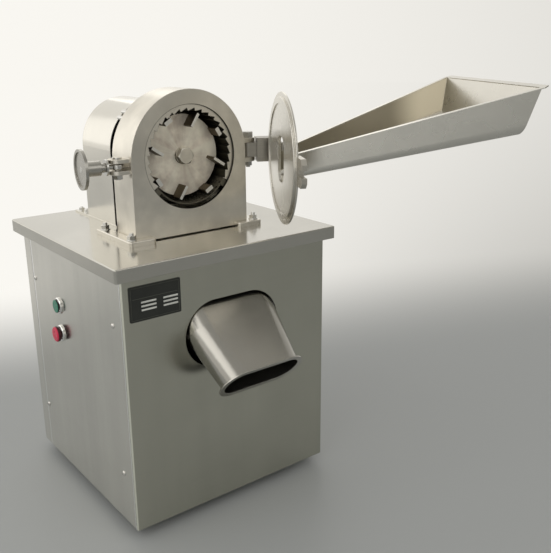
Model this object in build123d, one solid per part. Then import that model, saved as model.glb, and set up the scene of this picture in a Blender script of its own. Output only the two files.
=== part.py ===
from build123d import *
import math
import os

os.makedirs("parts", exist_ok=True)

# Analytical lab mill: a sheet metal cabinet with the motor inside, a cast mill head on its worktop,
# a hinged door that carries the feed hopper, a swing bolt latch and a sloping discharge duct.
# Millimetres. X runs along the front, -Y is the front, Z is up.
# The origin is the centre of the foot pattern on the bench.

FULL_TURN = 360.0

# cabinet
CAB_W = 400.0
CAB_D = 396.0
FOOT_H = 20.0
TABLE_Z = 477.5
SHEET = 2.0
RETURN_W = 4.5
FOLD_R = 2.0
REAR_STRIP = 28.0
VENT_W = 120.0
VENT_H = 6.0
VENT_STEP = 16.0
VENT_ROWS = 6
VENT_DROP = 40.0
PANEL_GAP = 1.5
TOP_OVERHANG = 15.0
TOP_SKIRT = 22.0
TOP_SHEET = 3.0
TOP_CORNER = 4.0
TOP_FILLET = 2.0
POST_LEG = 26.0
POST_SHEET = 2.0
FOOT_R = 19.0
FOOT_PITCH_X = 280.0
FOOT_PITCH_Y = 276.0
FOOT_HOLE_R = 4.5
BUSH_WALL = 6.0
BUSH_H = 12.0

# front opening, name plate and buttons
OPEN_R = 58.0
OPEN_W = 186.0
OPEN_Z = 332.0
PLATE_W = 90.0
PLATE_H = 57.0
PLATE_T = 1.0
PLATE_X = -143.8
PLATE_DROP = 64.6
PLATE_Z = TABLE_Z - PLATE_DROP
BUTTON_Y = 55.5
START_Z = 346.0
STOP_Z = 294.0
BEZEL_R = 15.0
BEZEL_IN_R = 12.2
BEZEL_T = 3.5
CAP_CLEAR = 0.3
START_OUT = 4.0
STOP_R = 14.0
STOP_OUT = 9.5
STOP_HEAD_T = 6.0
BUTTON_TRAVEL = 3.0
BUTTON_HOLE_R = 11.0
COLLAR_LEN = 26.0
CARRIER_T = 46.0
CARRIER_HALF_W = 24.0
CARRIER_SPARE = 26.0
STEM_R = 5.0
SCREW_R = 4.5
SCREW_HEAD_T = 2.4
SCREW_SHANK_R = 2.0
PANEL_SCREW_Y = 160.0
PANEL_SCREW_TOP = 372.0
PANEL_SCREW_LOW = 111.0

# mill head
AXIS_X = -8.0
AXIS_H = 131.0
BORE_R = 86.5
ARCH_WALL = 24.5
ARCH_R = BORE_R + ARCH_WALL
FACE_Y = -99.0
HOUSING_BACK = -33.0
HOUSING_LIFT = 2.0
WALL_Y = -45.0
OUTLET_W = BORE_R + 33.5
OUTLET_D = 44.0
OUTLET_Y = -72.0
LINER_T = 6.0
TOOTH_H = 5.0
LINER_ROOT_R = BORE_R - LINER_T
LINER_TIP_R = LINER_ROOT_R - TOOTH_H
LINER_TEETH = 24
LINER_STEP_DEG = 10.3
LINER_START_DEG = -33.0
LINER_FRONT = -96.0
LINER_BACK = -46.0
SEAT_T = 6.5
SIEVE_OUT_R = BORE_R - SEAT_T
SIEVE_T = 2.0
SIEVE_EDGE = 5.0
SIEVE_END_DEG = 7.0
SEAT_DEG = 5.0
SEAT_H = 12.0
SIEVE_HOLE_R = 2.6
SIEVE_ROWS = 5
SIEVE_COLS = 13
HAMMER_TIP = SIEVE_OUT_R - SIEVE_T - 4.5
ROTOR_R = HAMMER_TIP - 4.5
ROTOR_FRONT = -70.0
ROTOR_T = 14.0
HAMMER_OUT = 24.0
BEATER_LEN = 25.0
BEATER_T = 5.0
BLOCK_LEN = 15.0
BLOCK_T = 7.0
BEATER_DEG = 77.0
BEATER_SKEW_DEG = -20.0
BLOCK_DEG = 32.0
BOLT_AF = 26.0
BOLT_HEAD_T = 10.0
BOLT_SHANK_R = 8.0
WASHER_R = 14.6
WASHER_T = 4.0
SHAFT_R = 17.5
SHAFT_END = 140.0
RUN_CLEAR = 0.3
RUN_FIT = 0.05
THREAD_CLEAR = 0.1

# bearing pedestal and drive
BARREL_R = 52.0
BARREL_END = 84.0
BARREL_BORE_R = 36.0
FLANGE_R = 68.0
FLANGE_T = 12.0
FLANGE_SCREWS = 5
FLANGE_FIRST_DEG = -15.0
FLANGE_STEP_DEG = 52.5
FLANGE_PCD_R = 60.0
FLANGE_SCREW_R = 6.5
BEARING_W = 19.0
PED_W = 76.0
PED_FOOT_W = 120.0
PED_FOOT_H = 10.0
PULLEY_Y = 104.0
PULLEY_W = 30.0
PULLEY_R = 42.0
MOTOR_PULLEY_R = 63.0
RIM_H = 5.0
RIM_T = 3.0
BELT_T = 4.0
BELT_GAP = 0.3
MOTOR_Z = 135.0
MOTOR_R = 72.0
MOTOR_FRONT = -116.0
MOTOR_BACK = 76.0
MOTOR_SHAFT_R = 14.0
MOTOR_NOSE_R = 34.0
MOTOR_NOSE_T = 8.0
MOTOR_SOCKET = 30.0
FIN_H = 6.0
FIN_T = 2.0
FIN_COUNT = 28
FIN_FRONT = 26.0
FIN_BACK = 22.0
MOTOR_LEG_IN = 34.0
MOTOR_LEG_OUT = 48.0
COWL_LEN = 32.0
COWL_T = 2.0
COWL_SLOTS = 12
TERMINAL_W = 46.0
TERMINAL_H = 68.0
TERMINAL_Y0 = -50.0
TERMINAL_Y1 = 20.0
MOTOR_BOLT_X = 68.0
MOTOR_BOLT_AF = 13.0
MOTOR_BOLT_T = 8.0
MOTOR_BOLT_EDGE = 14.0
MOTOR_FOOT_W = 170.0
MOTOR_FOOT_H = 12.0

# guard behind the mill head
GUARD_R = 84.0
GUARD_RISE = 3.5
GUARD_FRONT = 30.0
GUARD_BACK = 146.0
GUARD_T = 1.5
GUARD_ROUND = 4.0
GUARD_BASE_W = 2 * GUARD_R + 2.0
GUARD_BASE_Y0 = GUARD_FRONT - 6.0
GUARD_BASE_Y1 = 201.0
GUARD_BASE_T = 3.0
GUARD_BOLT_X = GUARD_R - 8.0
GUARD_BOLT_Y = 166.0
GUARD_BOLT_STEP = 24.0
GUARD_BOLT_AF = 10.0
GUARD_BOLT_T = 6.0
STUD_R = 3.5
STUD_POS_R = ARCH_R - 11.0
STUD_LEN = 34.0
STUD_NUT_AF = 10.0
STUD_NUT_T = 6.0
STUD_DEG = (134.0, 141.0, 46.0, 39.0)

# feet of the mill head
FOOT_PLATE_T = 9.0
FOOT_PLATE_OUT = 21.0
FOOT_PLATE_TONGUE = 50.0
FOOT_PLATE_CORNER = 7.0
FOOT_PLATE_EDGE = 2.0
FOOT_PLATE_FRONT = -118.0
FOOT_PLATE_BACK = 4.3
HEAD_BOLT_Y0 = -104.0
HEAD_BOLT_Y1 = -8.0
HEAD_BOLT_AF = 13.0
HEAD_BOLT_T = 7.0

# door, in the closed position
DOOR_OPEN_DEG = 63.8
HINGE_REACH = 26.7
HINGE_X = AXIS_X + ARCH_R + HINGE_REACH
HINGE_Y = -69.6
DOOR_GAP = 0.3
DOOR_R = ARCH_R - 3.0
DOOR_RIM_T = 3.5
BOSS_R = DOOR_R - 8.0
BOSS_T = 3.0
DISH_R = BOSS_R - 10.0
DISH_T = 1.5
SLOT_W = 46.0
SLOT_H = 76.0
DOOR_AXIS_H = 129.5
HINGE_Z0 = 108.0
HINGE_Z1 = 150.0
EAR_T = 8.0
EAR_R = 12.0
KNUCKLE_GAP = 0.4
HINGE_PIN_R = 4.0
HINGE_HEAD_AF = 17.0
HINGE_HEAD_T = 10.0
HINGE_NUT_AF = 13.0
HINGE_NUT_T = 8.0
ARM_T = 11.0
ARM_IN = 42.0
ARM_SCREW_R = 5.0
ARM_SCREW_EDGE = 12.0
ARM_SCREW_STEP = 28.0

# latch
LATCH_H = 126.0
LATCH_REACH = 15.0
PIVOT_X = AXIS_X - ARCH_R - LATCH_REACH
PIVOT_Y = -80.0
CLEVIS_GAP = 12.0
CLEVIS_T = 6.0
CLEVIS_R = 15.0
CLEVIS_POCKET = 12.0
LATCH_PIN_R = 5.0
EYE_R = 10.0
EYE_T = 10.0
EYE_ROUND = 3.0
PIN_HEAD_T = 3.0
PIN_WASHER_T = 1.5
PIN_NUT_AF = 15.0
PIN_NUT_T = 6.5
BOLT_R = 5.0
BOLT_NECK_R = 3.4
BOLT_NECK_FROM = EYE_R - 3.0
BOLT_NECK_TO = CLEVIS_R
SWING_REST_DEG = -7.0
SWING_LEN = 59.0
NUT_START = CLEVIS_R + 2.5
NUT_WASHER_T = 3.0
NUT_WASHER_R = 13.0
COLLAR_R = 7.5
NUT_COLLAR_LEN = 8.0
HUB_R = 12.0
HUB_LEN = 27.0
WHEEL_R = 32.0
WHEEL_T = 5.0
WHEEL_RIM = 4.5
WHEEL_WEB = 3.0
FORK_OUT = DOOR_R + 30.0
FORK_IN = DOOR_R - 16.0
FORK_H = 44.0
FORK_FRONT = 12.0
FORK_SLOT = 11.5
FORK_CHAMFER = 8.0

# hopper, measured from the outer face of the door
HOP_NEAR_HALF = 29.0
HOP_NEAR_LOW_HALF = 27.0
HOP_NEAR_TOP = 8.5
HOP_NEAR_LOW = -31.0
HOP_LEN = 355.0
HOP_END_LEAN = 15.0
HOP_LOW_LEN = HOP_LEN - HOP_END_LEAN
HOP_SPARE = 80.0
HOP_RIM_START = 14.0
HOP_FAR_HALF = 168.0
HOP_FAR_LOW_HALF = 157.0
HOP_FAR_TOP = 116.0
HOP_FAR_LOW = 48.0
HOP_SHEET = 1.5
HOP_RIM = 9.0
HOP_BEND = 20.0
HOP_NEAR_BEND = 12.0
HOP_PLATE_W = 92.0
HOP_PLATE_H = 96.0
HOP_PLATE_T = 2.0
HOP_PLATE_GAP = 0.2
HOP_PLATE_CORNER = 8.0
HOP_SCREW_X = 40.0
HOP_SCREW_Z = 40.0

# discharge duct
DUCT_SLOPE_DEG = 39.0
DUCT_W = 176.0
DUCT_H = 66.0
DUCT_END_W = 146.0
DUCT_END_H = 60.0
DUCT_OUT = 100.0
DUCT_RAISE = 3.0
DUCT_MID = 75.0
DUCT_SHEET = 1.5
DUCT_LIP = 7.0
DUCT_TOP_W = 128.0
DUCT_TOP_D = 54.0

AXIS_Z = TABLE_Z + AXIS_H
DOOR_Z = TABLE_Z + DOOR_AXIS_H
LATCH_Z = TABLE_Z + LATCH_H
HALF_W = CAB_W / 2
HALF_D = CAB_D / 2
TOP_UNDER = TABLE_Z - TOP_SHEET
DOOR_IN_Y = FACE_Y - DOOR_GAP
DOOR_RIM_Y = DOOR_IN_Y - BOSS_T
DOOR_OUT_Y = DOOR_RIM_Y - DOOR_RIM_T
ROTOR_BACK = ROTOR_FRONT + ROTOR_T
PULLEY_END = PULLEY_Y + PULLEY_W


def block(x0, x1, y0, y1, z0, z1):
    size = Box(x1 - x0, y1 - y0, z1 - z0)
    return Pos((x0 + x1) / 2, (y0 + y1) / 2, (z0 + z1) / 2) * size


def rod_y(x, z, r, y0, y1):
    return Pos(x, (y0 + y1) / 2, z) * Rot(90, 0, 0) * Cylinder(r, y1 - y0)


def rod_x(y, z, r, x0, x1):
    return Pos((x0 + x1) / 2, y, z) * Rot(0, 90, 0) * Cylinder(r, x1 - x0)


def rod_z(x, y, r, z0, z1):
    return Pos(x, y, (z0 + z1) / 2) * Cylinder(r, z1 - z0)


def hex_z(x, y, across, z0, z1):
    outline = RegularPolygon(across / 2, 6, major_radius=False)
    return Pos(x, y, z0) * extrude(outline, z1 - z0)


def hex_y(x, z, across, y0, y1):
    outline = Rot(90, 0, 0) * RegularPolygon(across / 2, 6, major_radius=False)
    return Pos(x, y1, z) * extrude(outline, y1 - y0)


def spin_y(shape, angle):
    turn = Pos(AXIS_X, 0, AXIS_Z) * Rot(0, -angle, 0) * Pos(-AXIS_X, 0, -AXIS_Z)
    return turn * shape


def opened(shape):
    turn = Pos(HINGE_X, HINGE_Y, 0) * Rot(0, 0, DOOR_OPEN_DEG) * Pos(-HINGE_X, -HINGE_Y, 0)
    return turn * shape


def swung(shape):
    turn = Pos(PIVOT_X, PIVOT_Y, LATCH_Z) * Rot(0, 0, 180 + SWING_REST_DEG)
    return turn * shape


def obround_y(x, z, width, height, y0, y1):
    outline = Rot(90, 0, 0) * SlotOverall(width, height)
    return Pos(x, y1, z) * extrude(outline, y1 - y0)


def arch(r, y0, y1, base, middle):
    round_top = rod_y(AXIS_X, middle, r, y0, y1)
    sides = block(AXIS_X - r, AXIS_X + r, y0, y1, base, middle)
    return round_top + sides


def save(name, shape):
    export_step(shape, os.path.join("parts", name + ".step"))


# cabinet


def make_front_panel():
    sheet = block(-HALF_W, HALF_W, -HALF_D, -HALF_D + SHEET, FOOT_H, TOP_UNDER)
    left = block(-HALF_W, -HALF_W + SHEET, -HALF_D, -HALF_D + RETURN_W, FOOT_H, TOP_UNDER)
    right = block(HALF_W - SHEET, HALF_W, -HALF_D, -HALF_D + RETURN_W, FOOT_H, TOP_UNDER)
    opening = obround_y(0, OPEN_Z, OPEN_W, 2 * OPEN_R, -HALF_D - 1, -HALF_D + SHEET + 1)
    panel = sheet + left + right
    corners = panel.edges().filter_by(Axis.Z).group_by(Axis.Y)[0]
    return fillet(corners, FOLD_R) - opening


def make_back_panel():
    sheet = block(-HALF_W, HALF_W, HALF_D - SHEET, HALF_D, FOOT_H, TOP_UNDER)
    strip = block(-HALF_W, -HALF_W + SHEET, HALF_D - REAR_STRIP, HALF_D, FOOT_H, TOP_UNDER)
    slots = []
    for row in range(VENT_ROWS):
        z = MOTOR_Z - VENT_DROP + row * VENT_STEP
        slots.append(obround_y(0, z, VENT_W, VENT_H, HALF_D - SHEET - 1, HALF_D + 1))
    return sheet + strip - slots


def make_side_panel():
    y0 = -HALF_D + RETURN_W + PANEL_GAP
    return block(HALF_W - SHEET, HALF_W, y0, HALF_D - SHEET, FOOT_H, TOP_UNDER)


def screw_places():
    for y in (-PANEL_SCREW_Y, PANEL_SCREW_Y):
        for z in (PANEL_SCREW_LOW, PANEL_SCREW_TOP):
            yield y, z


def make_access_panel():
    y0 = -HALF_D + RETURN_W + PANEL_GAP
    y1 = HALF_D - REAR_STRIP - PANEL_GAP
    sheet = block(-HALF_W, -HALF_W + SHEET, y0, y1, FOOT_H, TOP_UNDER)
    for z in (START_Z, STOP_Z):
        sheet -= rod_x(BUTTON_Y, z, BUTTON_HOLE_R, -HALF_W - 1, -HALF_W + SHEET + 1)
    for y, z in screw_places():
        sheet -= rod_x(y, z, SCREW_SHANK_R, -HALF_W - 1, -HALF_W + SHEET + 1)
    return sheet


def make_panel_screws():
    screws = []
    for y, z in screw_places():
        head = rod_x(y, z, SCREW_R, -HALF_W - SCREW_HEAD_T, -HALF_W)
        head = fillet(head.edges().filter_by(GeomType.CIRCLE).group_by(Axis.X)[0], 1.2)
        recess = block(
            -HALF_W - SCREW_HEAD_T, -HALF_W - SCREW_HEAD_T / 2, y - 0.6, y + 0.6, z - 3, z + 3
        )
        shank = rod_x(y, z, SCREW_SHANK_R, -HALF_W, -HALF_W + 10)
        screws.append(head + shank - recess)
    return Compound(children=screws)


def make_posts():
    posts = []
    inset = SHEET
    for sx in (-1, 1):
        for sy in (-1, 1):
            x0 = sx * (HALF_W - inset)
            y0 = sy * (HALF_D - inset)
            x1 = x0 - sx * POST_LEG
            y1 = y0 - sy * POST_LEG
            xt = x0 - sx * POST_SHEET
            yt = y0 - sy * POST_SHEET
            z0 = FOOT_H + SHEET
            leg_x = block(min(x0, x1), max(x0, x1), min(y0, yt), max(y0, yt), z0, TOP_UNDER)
            leg_y = block(min(x0, xt), max(x0, xt), min(y0, y1), max(y0, y1), z0, TOP_UNDER)
            posts.append(leg_x + leg_y)
    cuts = []
    for y, z in screw_places():
        cuts.append(rod_x(y, z, SCREW_SHANK_R, -HALF_W, -HALF_W + 12))
    posts = [post - cuts for post in posts]
    return Compound(children=posts + make_panel_rails())


def make_panel_rails():
    # flat bars behind the access panel that take its screws
    bars = []
    for y in (-PANEL_SCREW_Y, PANEL_SCREW_Y):
        x0 = -HALF_W + SHEET
        y_in = -PANEL_SCREW_Y + 10 if y < 0 else PANEL_SCREW_Y - 10
        y_out = -HALF_D + SHEET + POST_LEG if y < 0 else HALF_D - SHEET - POST_LEG
        bar = block(x0, x0 + 3, min(y_in, y_out), max(y_in, y_out), FOOT_H + 30, TOP_UNDER - 30)
        for z in (PANEL_SCREW_LOW, PANEL_SCREW_TOP):
            bar -= rod_x(y, z, SCREW_SHANK_R, x0 - 1, x0 + 5)
        bars.append(bar)
    return bars


def foot_places():
    for x in (-FOOT_PITCH_X / 2, FOOT_PITCH_X / 2):
        for y in (-FOOT_PITCH_Y / 2, FOOT_PITCH_Y / 2):
            yield x, y


def make_base_tray():
    x = HALF_W - SHEET
    y = HALF_D - SHEET
    tray = block(-x, x, -y, y, FOOT_H, FOOT_H + SHEET)
    for fx, fy in foot_places():
        tray -= rod_z(fx, fy, FOOT_HOLE_R + 1, FOOT_H - 1, FOOT_H + SHEET + 1)
    return tray


def make_feet():
    feet = []
    for x, y in foot_places():
        foot = Pos(x, y, FOOT_H / 2) * Cone(FOOT_R - 3, FOOT_R, FOOT_H)
        feet.append(foot - rod_z(x, y, FOOT_HOLE_R, -1, FOOT_H + 1))
    return Compound(children=feet)


def make_foot_bushes():
    bushes = []
    for x, y in foot_places():
        z0 = FOOT_H + SHEET
        body = rod_z(x, y, FOOT_HOLE_R + BUSH_WALL, z0, z0 + BUSH_H)
        bushes.append(body - rod_z(x, y, FOOT_HOLE_R, z0 - 1, z0 + BUSH_H + 1))
    return Compound(children=bushes)


def make_worktop():
    w = HALF_W + TOP_OVERHANG
    d = HALF_D + TOP_OVERHANG
    slab = block(-w, w, -d, d, TABLE_Z - TOP_SKIRT, TABLE_Z)
    slab = fillet(slab.edges().filter_by(Axis.Z), TOP_CORNER)
    slab = fillet(slab.faces().sort_by(Axis.Z)[-1].edges(), TOP_FILLET)
    wi = w - SHEET
    di = d - SHEET
    hollow = block(-wi, wi, -di, di, TABLE_Z - TOP_SKIRT - 1, TOP_UNDER)
    hollow = fillet(hollow.edges().filter_by(Axis.Z), TOP_CORNER - SHEET)
    outlet = block(
        AXIS_X - OUTLET_W / 2,
        AXIS_X + OUTLET_W / 2,
        OUTLET_Y - OUTLET_D / 2,
        OUTLET_Y + OUTLET_D / 2,
        TOP_UNDER - 1,
        TABLE_Z + 1,
    )
    half = MOTOR_PULLEY_R + RIM_H
    belt_way = block(
        AXIS_X - half, AXIS_X + half, PULLEY_Y - 4, PULLEY_END + 4, TOP_UNDER - 1, TABLE_Z + 1
    )
    return slab - hollow - outlet - belt_way


def make_nameplate():
    y = -HALF_D
    x0 = PLATE_X - PLATE_W / 2
    z0 = PLATE_Z - PLATE_H / 2
    plate = block(x0, x0 + PLATE_W, y - PLATE_T, y, z0, z0 + PLATE_H)
    plate = fillet(plate.edges().filter_by(Axis.Y), 2.5)
    return plate


# buttons


def make_bezel(z):
    x = -HALF_W
    ring = rod_x(BUTTON_Y, z, BEZEL_R, x - BEZEL_T, x)
    ring = chamfer(ring.edges().filter_by(GeomType.CIRCLE).group_by(Axis.X)[0], 1.5)
    collar = rod_x(BUTTON_Y, z, BUTTON_HOLE_R - 0.5, x, x + COLLAR_LEN)
    bore = rod_x(BUTTON_Y, z, BEZEL_IN_R, x - BEZEL_T - 1, x - 1)
    way = rod_x(BUTTON_Y, z, STEM_R + CAP_CLEAR, x - 2, x + COLLAR_LEN + 1)
    return ring + collar - bore - way


def make_start_cap():
    x = -HALF_W
    r = BEZEL_IN_R - CAP_CLEAR
    head = rod_x(BUTTON_Y, START_Z, r, x - BEZEL_T - START_OUT, x - 1 - BUTTON_TRAVEL - 0.5)
    head = fillet(head.edges().filter_by(GeomType.CIRCLE).group_by(Axis.X)[0], 1.5)
    stem = rod_x(BUTTON_Y, START_Z, STEM_R, x - 1 - BUTTON_TRAVEL - 0.5, x + 24)
    return head + stem


def make_stop_cap():
    x = -HALF_W
    tip = x - BEZEL_T - STOP_OUT
    head = rod_x(BUTTON_Y, STOP_Z, STOP_R, tip, tip + STOP_HEAD_T)
    head = fillet(head.edges().filter_by(GeomType.CIRCLE).group_by(Axis.X)[0], 3.0)
    r = BEZEL_IN_R - CAP_CLEAR
    neck = rod_x(BUTTON_Y, STOP_Z, r, tip + STOP_HEAD_T, x - 1 - BUTTON_TRAVEL - 0.5)
    stem = rod_x(BUTTON_Y, STOP_Z, STEM_R, x - 1 - BUTTON_TRAVEL - 0.5, x + 24)
    return head + neck + stem


def make_locknuts():
    nuts = []
    for z in (START_Z, STOP_Z):
        x = -HALF_W + SHEET
        ring = rod_x(BUTTON_Y, z, BUTTON_HOLE_R + 4, x, x + 5)
        nuts.append(ring - rod_x(BUTTON_Y, z, BUTTON_HOLE_R - 0.5, x - 1, x + 6))
    return Compound(children=nuts)


def make_contact_box():
    # switch housing screwed behind the panel: the two contact blocks in one carrier
    x = -HALF_W + COLLAR_LEN
    y0 = BUTTON_Y - CARRIER_HALF_W
    y1 = BUTTON_Y + CARRIER_HALF_W
    carrier = block(x, x + CARRIER_T, y0, y1, STOP_Z - CARRIER_SPARE, START_Z + CARRIER_SPARE)
    for z in (START_Z, STOP_Z):
        carrier -= rod_x(BUTTON_Y, z, STEM_R + 3, x - 1, x + BUTTON_TRAVEL + 8)
    return carrier


# mill head


def make_housing():
    body = arch(ARCH_R, FACE_Y, HOUSING_BACK, TABLE_Z + HOUSING_LIFT, AXIS_Z)
    bore = rod_y(AXIS_X, AXIS_Z, BORE_R, FACE_Y - 1, WALL_Y)
    outlet = block(
        AXIS_X - OUTLET_W / 2,
        AXIS_X + OUTLET_W / 2,
        OUTLET_Y - OUTLET_D / 2,
        OUTLET_Y + OUTLET_D / 2,
        TABLE_Z,
        AXIS_Z - SIEVE_OUT_R / 2,
    )
    shaft_way = rod_y(AXIS_X, AXIS_Z, SHAFT_R + 1, WALL_Y - 1, HOUSING_BACK + 1)
    lug_z0 = LATCH_Z - CLEVIS_GAP / 2 - CLEVIS_T
    lug_z1 = LATCH_Z + CLEVIS_GAP / 2 + CLEVIS_T
    lug = rod_z(PIVOT_X, PIVOT_Y, CLEVIS_R, lug_z0, lug_z1)
    lug += block(PIVOT_X, AXIS_X - ARCH_R + 3, PIVOT_Y - CLEVIS_R, PIVOT_Y + CLEVIS_R, lug_z0, lug_z1)
    slot = block(
        PIVOT_X - CLEVIS_R - 1,
        AXIS_X - ARCH_R + CLEVIS_POCKET,
        PIVOT_Y - CLEVIS_R - 1,
        PIVOT_Y + CLEVIS_R + 1,
        LATCH_Z - CLEVIS_GAP / 2,
        LATCH_Z + CLEVIS_GAP / 2,
    )
    lug -= rod_z(PIVOT_X, PIVOT_Y, LATCH_PIN_R, lug_z0 - 1, lug_z1 + 1)
    ears = []
    for z0 in (TABLE_Z + HINGE_Z0, TABLE_Z + HINGE_Z1 - EAR_T):
        ear = rod_z(HINGE_X, HINGE_Y, EAR_R, z0, z0 + EAR_T)
        ear += block(AXIS_X + ARCH_R - 3, HINGE_X, HINGE_Y - EAR_R, HINGE_Y + EAR_R, z0, z0 + EAR_T)
        ears.append(ear - rod_z(HINGE_X, HINGE_Y, HINGE_PIN_R, z0 - 1, z0 + EAR_T + 1))
    return body - bore - outlet - shaft_way + lug + ears - slot


def liner_point(r, angle):
    a = math.radians(angle)
    return (AXIS_X + r * math.cos(a), AXIS_Z + r * math.sin(a))


def make_liner():
    points = []
    for k in range(LINER_TEETH):
        a = LINER_START_DEG + k * LINER_STEP_DEG
        points.append(liner_point(LINER_TIP_R, a))
        points.append(liner_point(LINER_ROOT_R, a + 0.12 * LINER_STEP_DEG))
    end = LINER_START_DEG + LINER_TEETH * LINER_STEP_DEG
    points.append(liner_point(LINER_TIP_R, end))
    corner = liner_point(BORE_R, end)
    first = liner_point(BORE_R, LINER_START_DEG)
    top = liner_point(BORE_R, (LINER_START_DEG + end) / 2)
    depth = LINER_BACK - LINER_FRONT
    with BuildSketch(Plane.XZ) as outline:
        with BuildLine():
            Polyline(*points)
            Line(points[-1], corner)
            ThreePointArc(corner, top, first)
            Line(first, points[0])
        make_face()
    return Pos(0, LINER_BACK, 0) * extrude(outline.sketch, depth)


def make_sieve():
    a0 = LINER_START_DEG + LINER_TEETH * LINER_STEP_DEG - FULL_TURN
    a1 = LINER_START_DEG
    mid = (a0 + a1) / 2
    with BuildSketch(Plane.XZ) as outline:
        with BuildLine():
            outer_0 = liner_point(SIEVE_OUT_R, a0)
            outer_1 = liner_point(SIEVE_OUT_R, a1)
            inner_0 = liner_point(SIEVE_OUT_R - SIEVE_T, a0)
            inner_1 = liner_point(SIEVE_OUT_R - SIEVE_T, a1)
            ThreePointArc(outer_0, liner_point(SIEVE_OUT_R, mid), outer_1)
            Line(outer_1, inner_1)
            ThreePointArc(inner_1, liner_point(SIEVE_OUT_R - SIEVE_T, mid), inner_0)
            Line(inner_0, outer_0)
        make_face()
    depth = LINER_BACK - LINER_FRONT
    sheet = Pos(0, LINER_BACK, 0) * extrude(outline.sketch, depth)
    step_a = (a1 - a0 - 2 * SIEVE_END_DEG) / (SIEVE_COLS - 1)
    step_y = (depth - 2 * SIEVE_EDGE) / (SIEVE_ROWS - 1)
    drill_x = AXIS_X + SIEVE_OUT_R
    holes = []
    for col in range(SIEVE_COLS):
        for row in range(SIEVE_ROWS):
            y = LINER_FRONT + SIEVE_EDGE + row * step_y
            hole = rod_x(y, AXIS_Z, SIEVE_HOLE_R, drill_x - 3 * SIEVE_T, drill_x + SIEVE_T)
            holes.append(spin_y(hole, a0 + SIEVE_END_DEG + col * step_a))
    return sheet - holes


def make_sieve_seats():
    # ledges on both sides of the outlet that hold the ends of the sieve against the bore
    a0 = LINER_START_DEG + LINER_TEETH * LINER_STEP_DEG - FULL_TURN
    a1 = LINER_START_DEG
    ring = rod_y(AXIS_X, AXIS_Z, BORE_R, LINER_FRONT, LINER_BACK)
    ring -= rod_y(AXIS_X, AXIS_Z, SIEVE_OUT_R, LINER_FRONT - 1, LINER_BACK + 1)
    seats = []
    for a in (a0 + SEAT_DEG, a1 - SEAT_DEG):
        wedge = block(
            AXIS_X + SIEVE_OUT_R / 2,
            AXIS_X + ARCH_R,
            LINER_FRONT,
            LINER_BACK,
            AXIS_Z - SEAT_H / 2,
            AXIS_Z + SEAT_H / 2,
        )
        seats.append(ring & spin_y(wedge, a))
    return Compound(children=seats)


def make_rotor():
    disc = rod_y(AXIS_X, AXIS_Z, ROTOR_R, ROTOR_FRONT, ROTOR_BACK)
    hub = rod_y(AXIS_X, AXIS_Z, SHAFT_R + 9, ROTOR_BACK, WALL_Y - 2)
    bore = rod_y(AXIS_X, AXIS_Z, BOLT_SHANK_R, ROTOR_FRONT - 1, WALL_Y)
    return disc + hub - bore


def make_beaters(first, length, thick, tip, across, skew=0.0):
    # Each bar is turned about its own middle, and its outer corner stays within the tip circle.
    bars = []
    lean = math.radians(abs(skew))
    middle = AXIS_X + tip - (length * math.cos(lean) + across * math.sin(lean)) / 2
    for k in range(4):
        bar = block(
            -length / 2,
            length / 2,
            ROTOR_FRONT - HAMMER_OUT,
            ROTOR_FRONT,
            -across / 2,
            across / 2,
        )
        bar = chamfer(bar.edges().filter_by(Axis.Y), min(thick, 5.0) * 0.12)
        bar = Pos(middle, 0, AXIS_Z) * Rot(0, -skew, 0) * bar
        bars.append(spin_y(bar, first - 90 * k))
    return Compound(children=bars)


def make_rotor_washer():
    ring = rod_y(AXIS_X, AXIS_Z, WASHER_R, ROTOR_FRONT - WASHER_T, ROTOR_FRONT)
    return ring - rod_y(AXIS_X, AXIS_Z, BOLT_SHANK_R, ROTOR_FRONT - WASHER_T - 1, ROTOR_FRONT + 1)


def make_rotor_bolt():
    y = ROTOR_FRONT - WASHER_T
    head = hex_y(AXIS_X, AXIS_Z, BOLT_AF, y - BOLT_HEAD_T, y)
    return head + rod_y(AXIS_X, AXIS_Z, BOLT_SHANK_R, y, WALL_Y + 20)


def make_main_shaft():
    shaft = rod_y(AXIS_X, AXIS_Z, SHAFT_R, WALL_Y - 2, SHAFT_END)
    shaft = chamfer(shaft.edges().filter_by(GeomType.CIRCLE).group_by(Axis.Y)[-1], 1.0)
    return shaft - rod_y(AXIS_X, AXIS_Z, BOLT_SHANK_R, WALL_Y - 3, WALL_Y + 20)


def make_bearing_barrel():
    barrel = rod_y(AXIS_X, AXIS_Z, BARREL_R, HOUSING_BACK, BARREL_END)
    flange = rod_y(AXIS_X, AXIS_Z, FLANGE_R, HOUSING_BACK, HOUSING_BACK + FLANGE_T)
    web = block(AXIS_X - PED_W / 2, AXIS_X + PED_W / 2, HOUSING_BACK, BARREL_END, TABLE_Z, AXIS_Z)
    sole = block(
        AXIS_X - PED_FOOT_W / 2,
        AXIS_X + PED_FOOT_W / 2,
        HOUSING_BACK,
        GUARD_FRONT - 2,
        TABLE_Z,
        TABLE_Z + PED_FOOT_H,
    )
    body = barrel + flange + web + sole
    body -= rod_y(AXIS_X, AXIS_Z, BARREL_BORE_R, HOUSING_BACK + 8, BARREL_END + 1)
    body -= rod_y(AXIS_X, AXIS_Z, SHAFT_R + RUN_CLEAR, HOUSING_BACK - 1, HOUSING_BACK + 9)
    return body


def make_flange_screws():
    screws = []
    y = HOUSING_BACK + FLANGE_T
    for k in range(FLANGE_SCREWS):
        head = rod_y(AXIS_X + FLANGE_PCD_R, AXIS_Z, FLANGE_SCREW_R, y, y + 8)
        head -= hex_y(AXIS_X + FLANGE_PCD_R, AXIS_Z, 6.0, y + 4, y + 9)
        screws.append(spin_y(head, FLANGE_FIRST_DEG + k * FLANGE_STEP_DEG))
    return Compound(children=screws)


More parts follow.
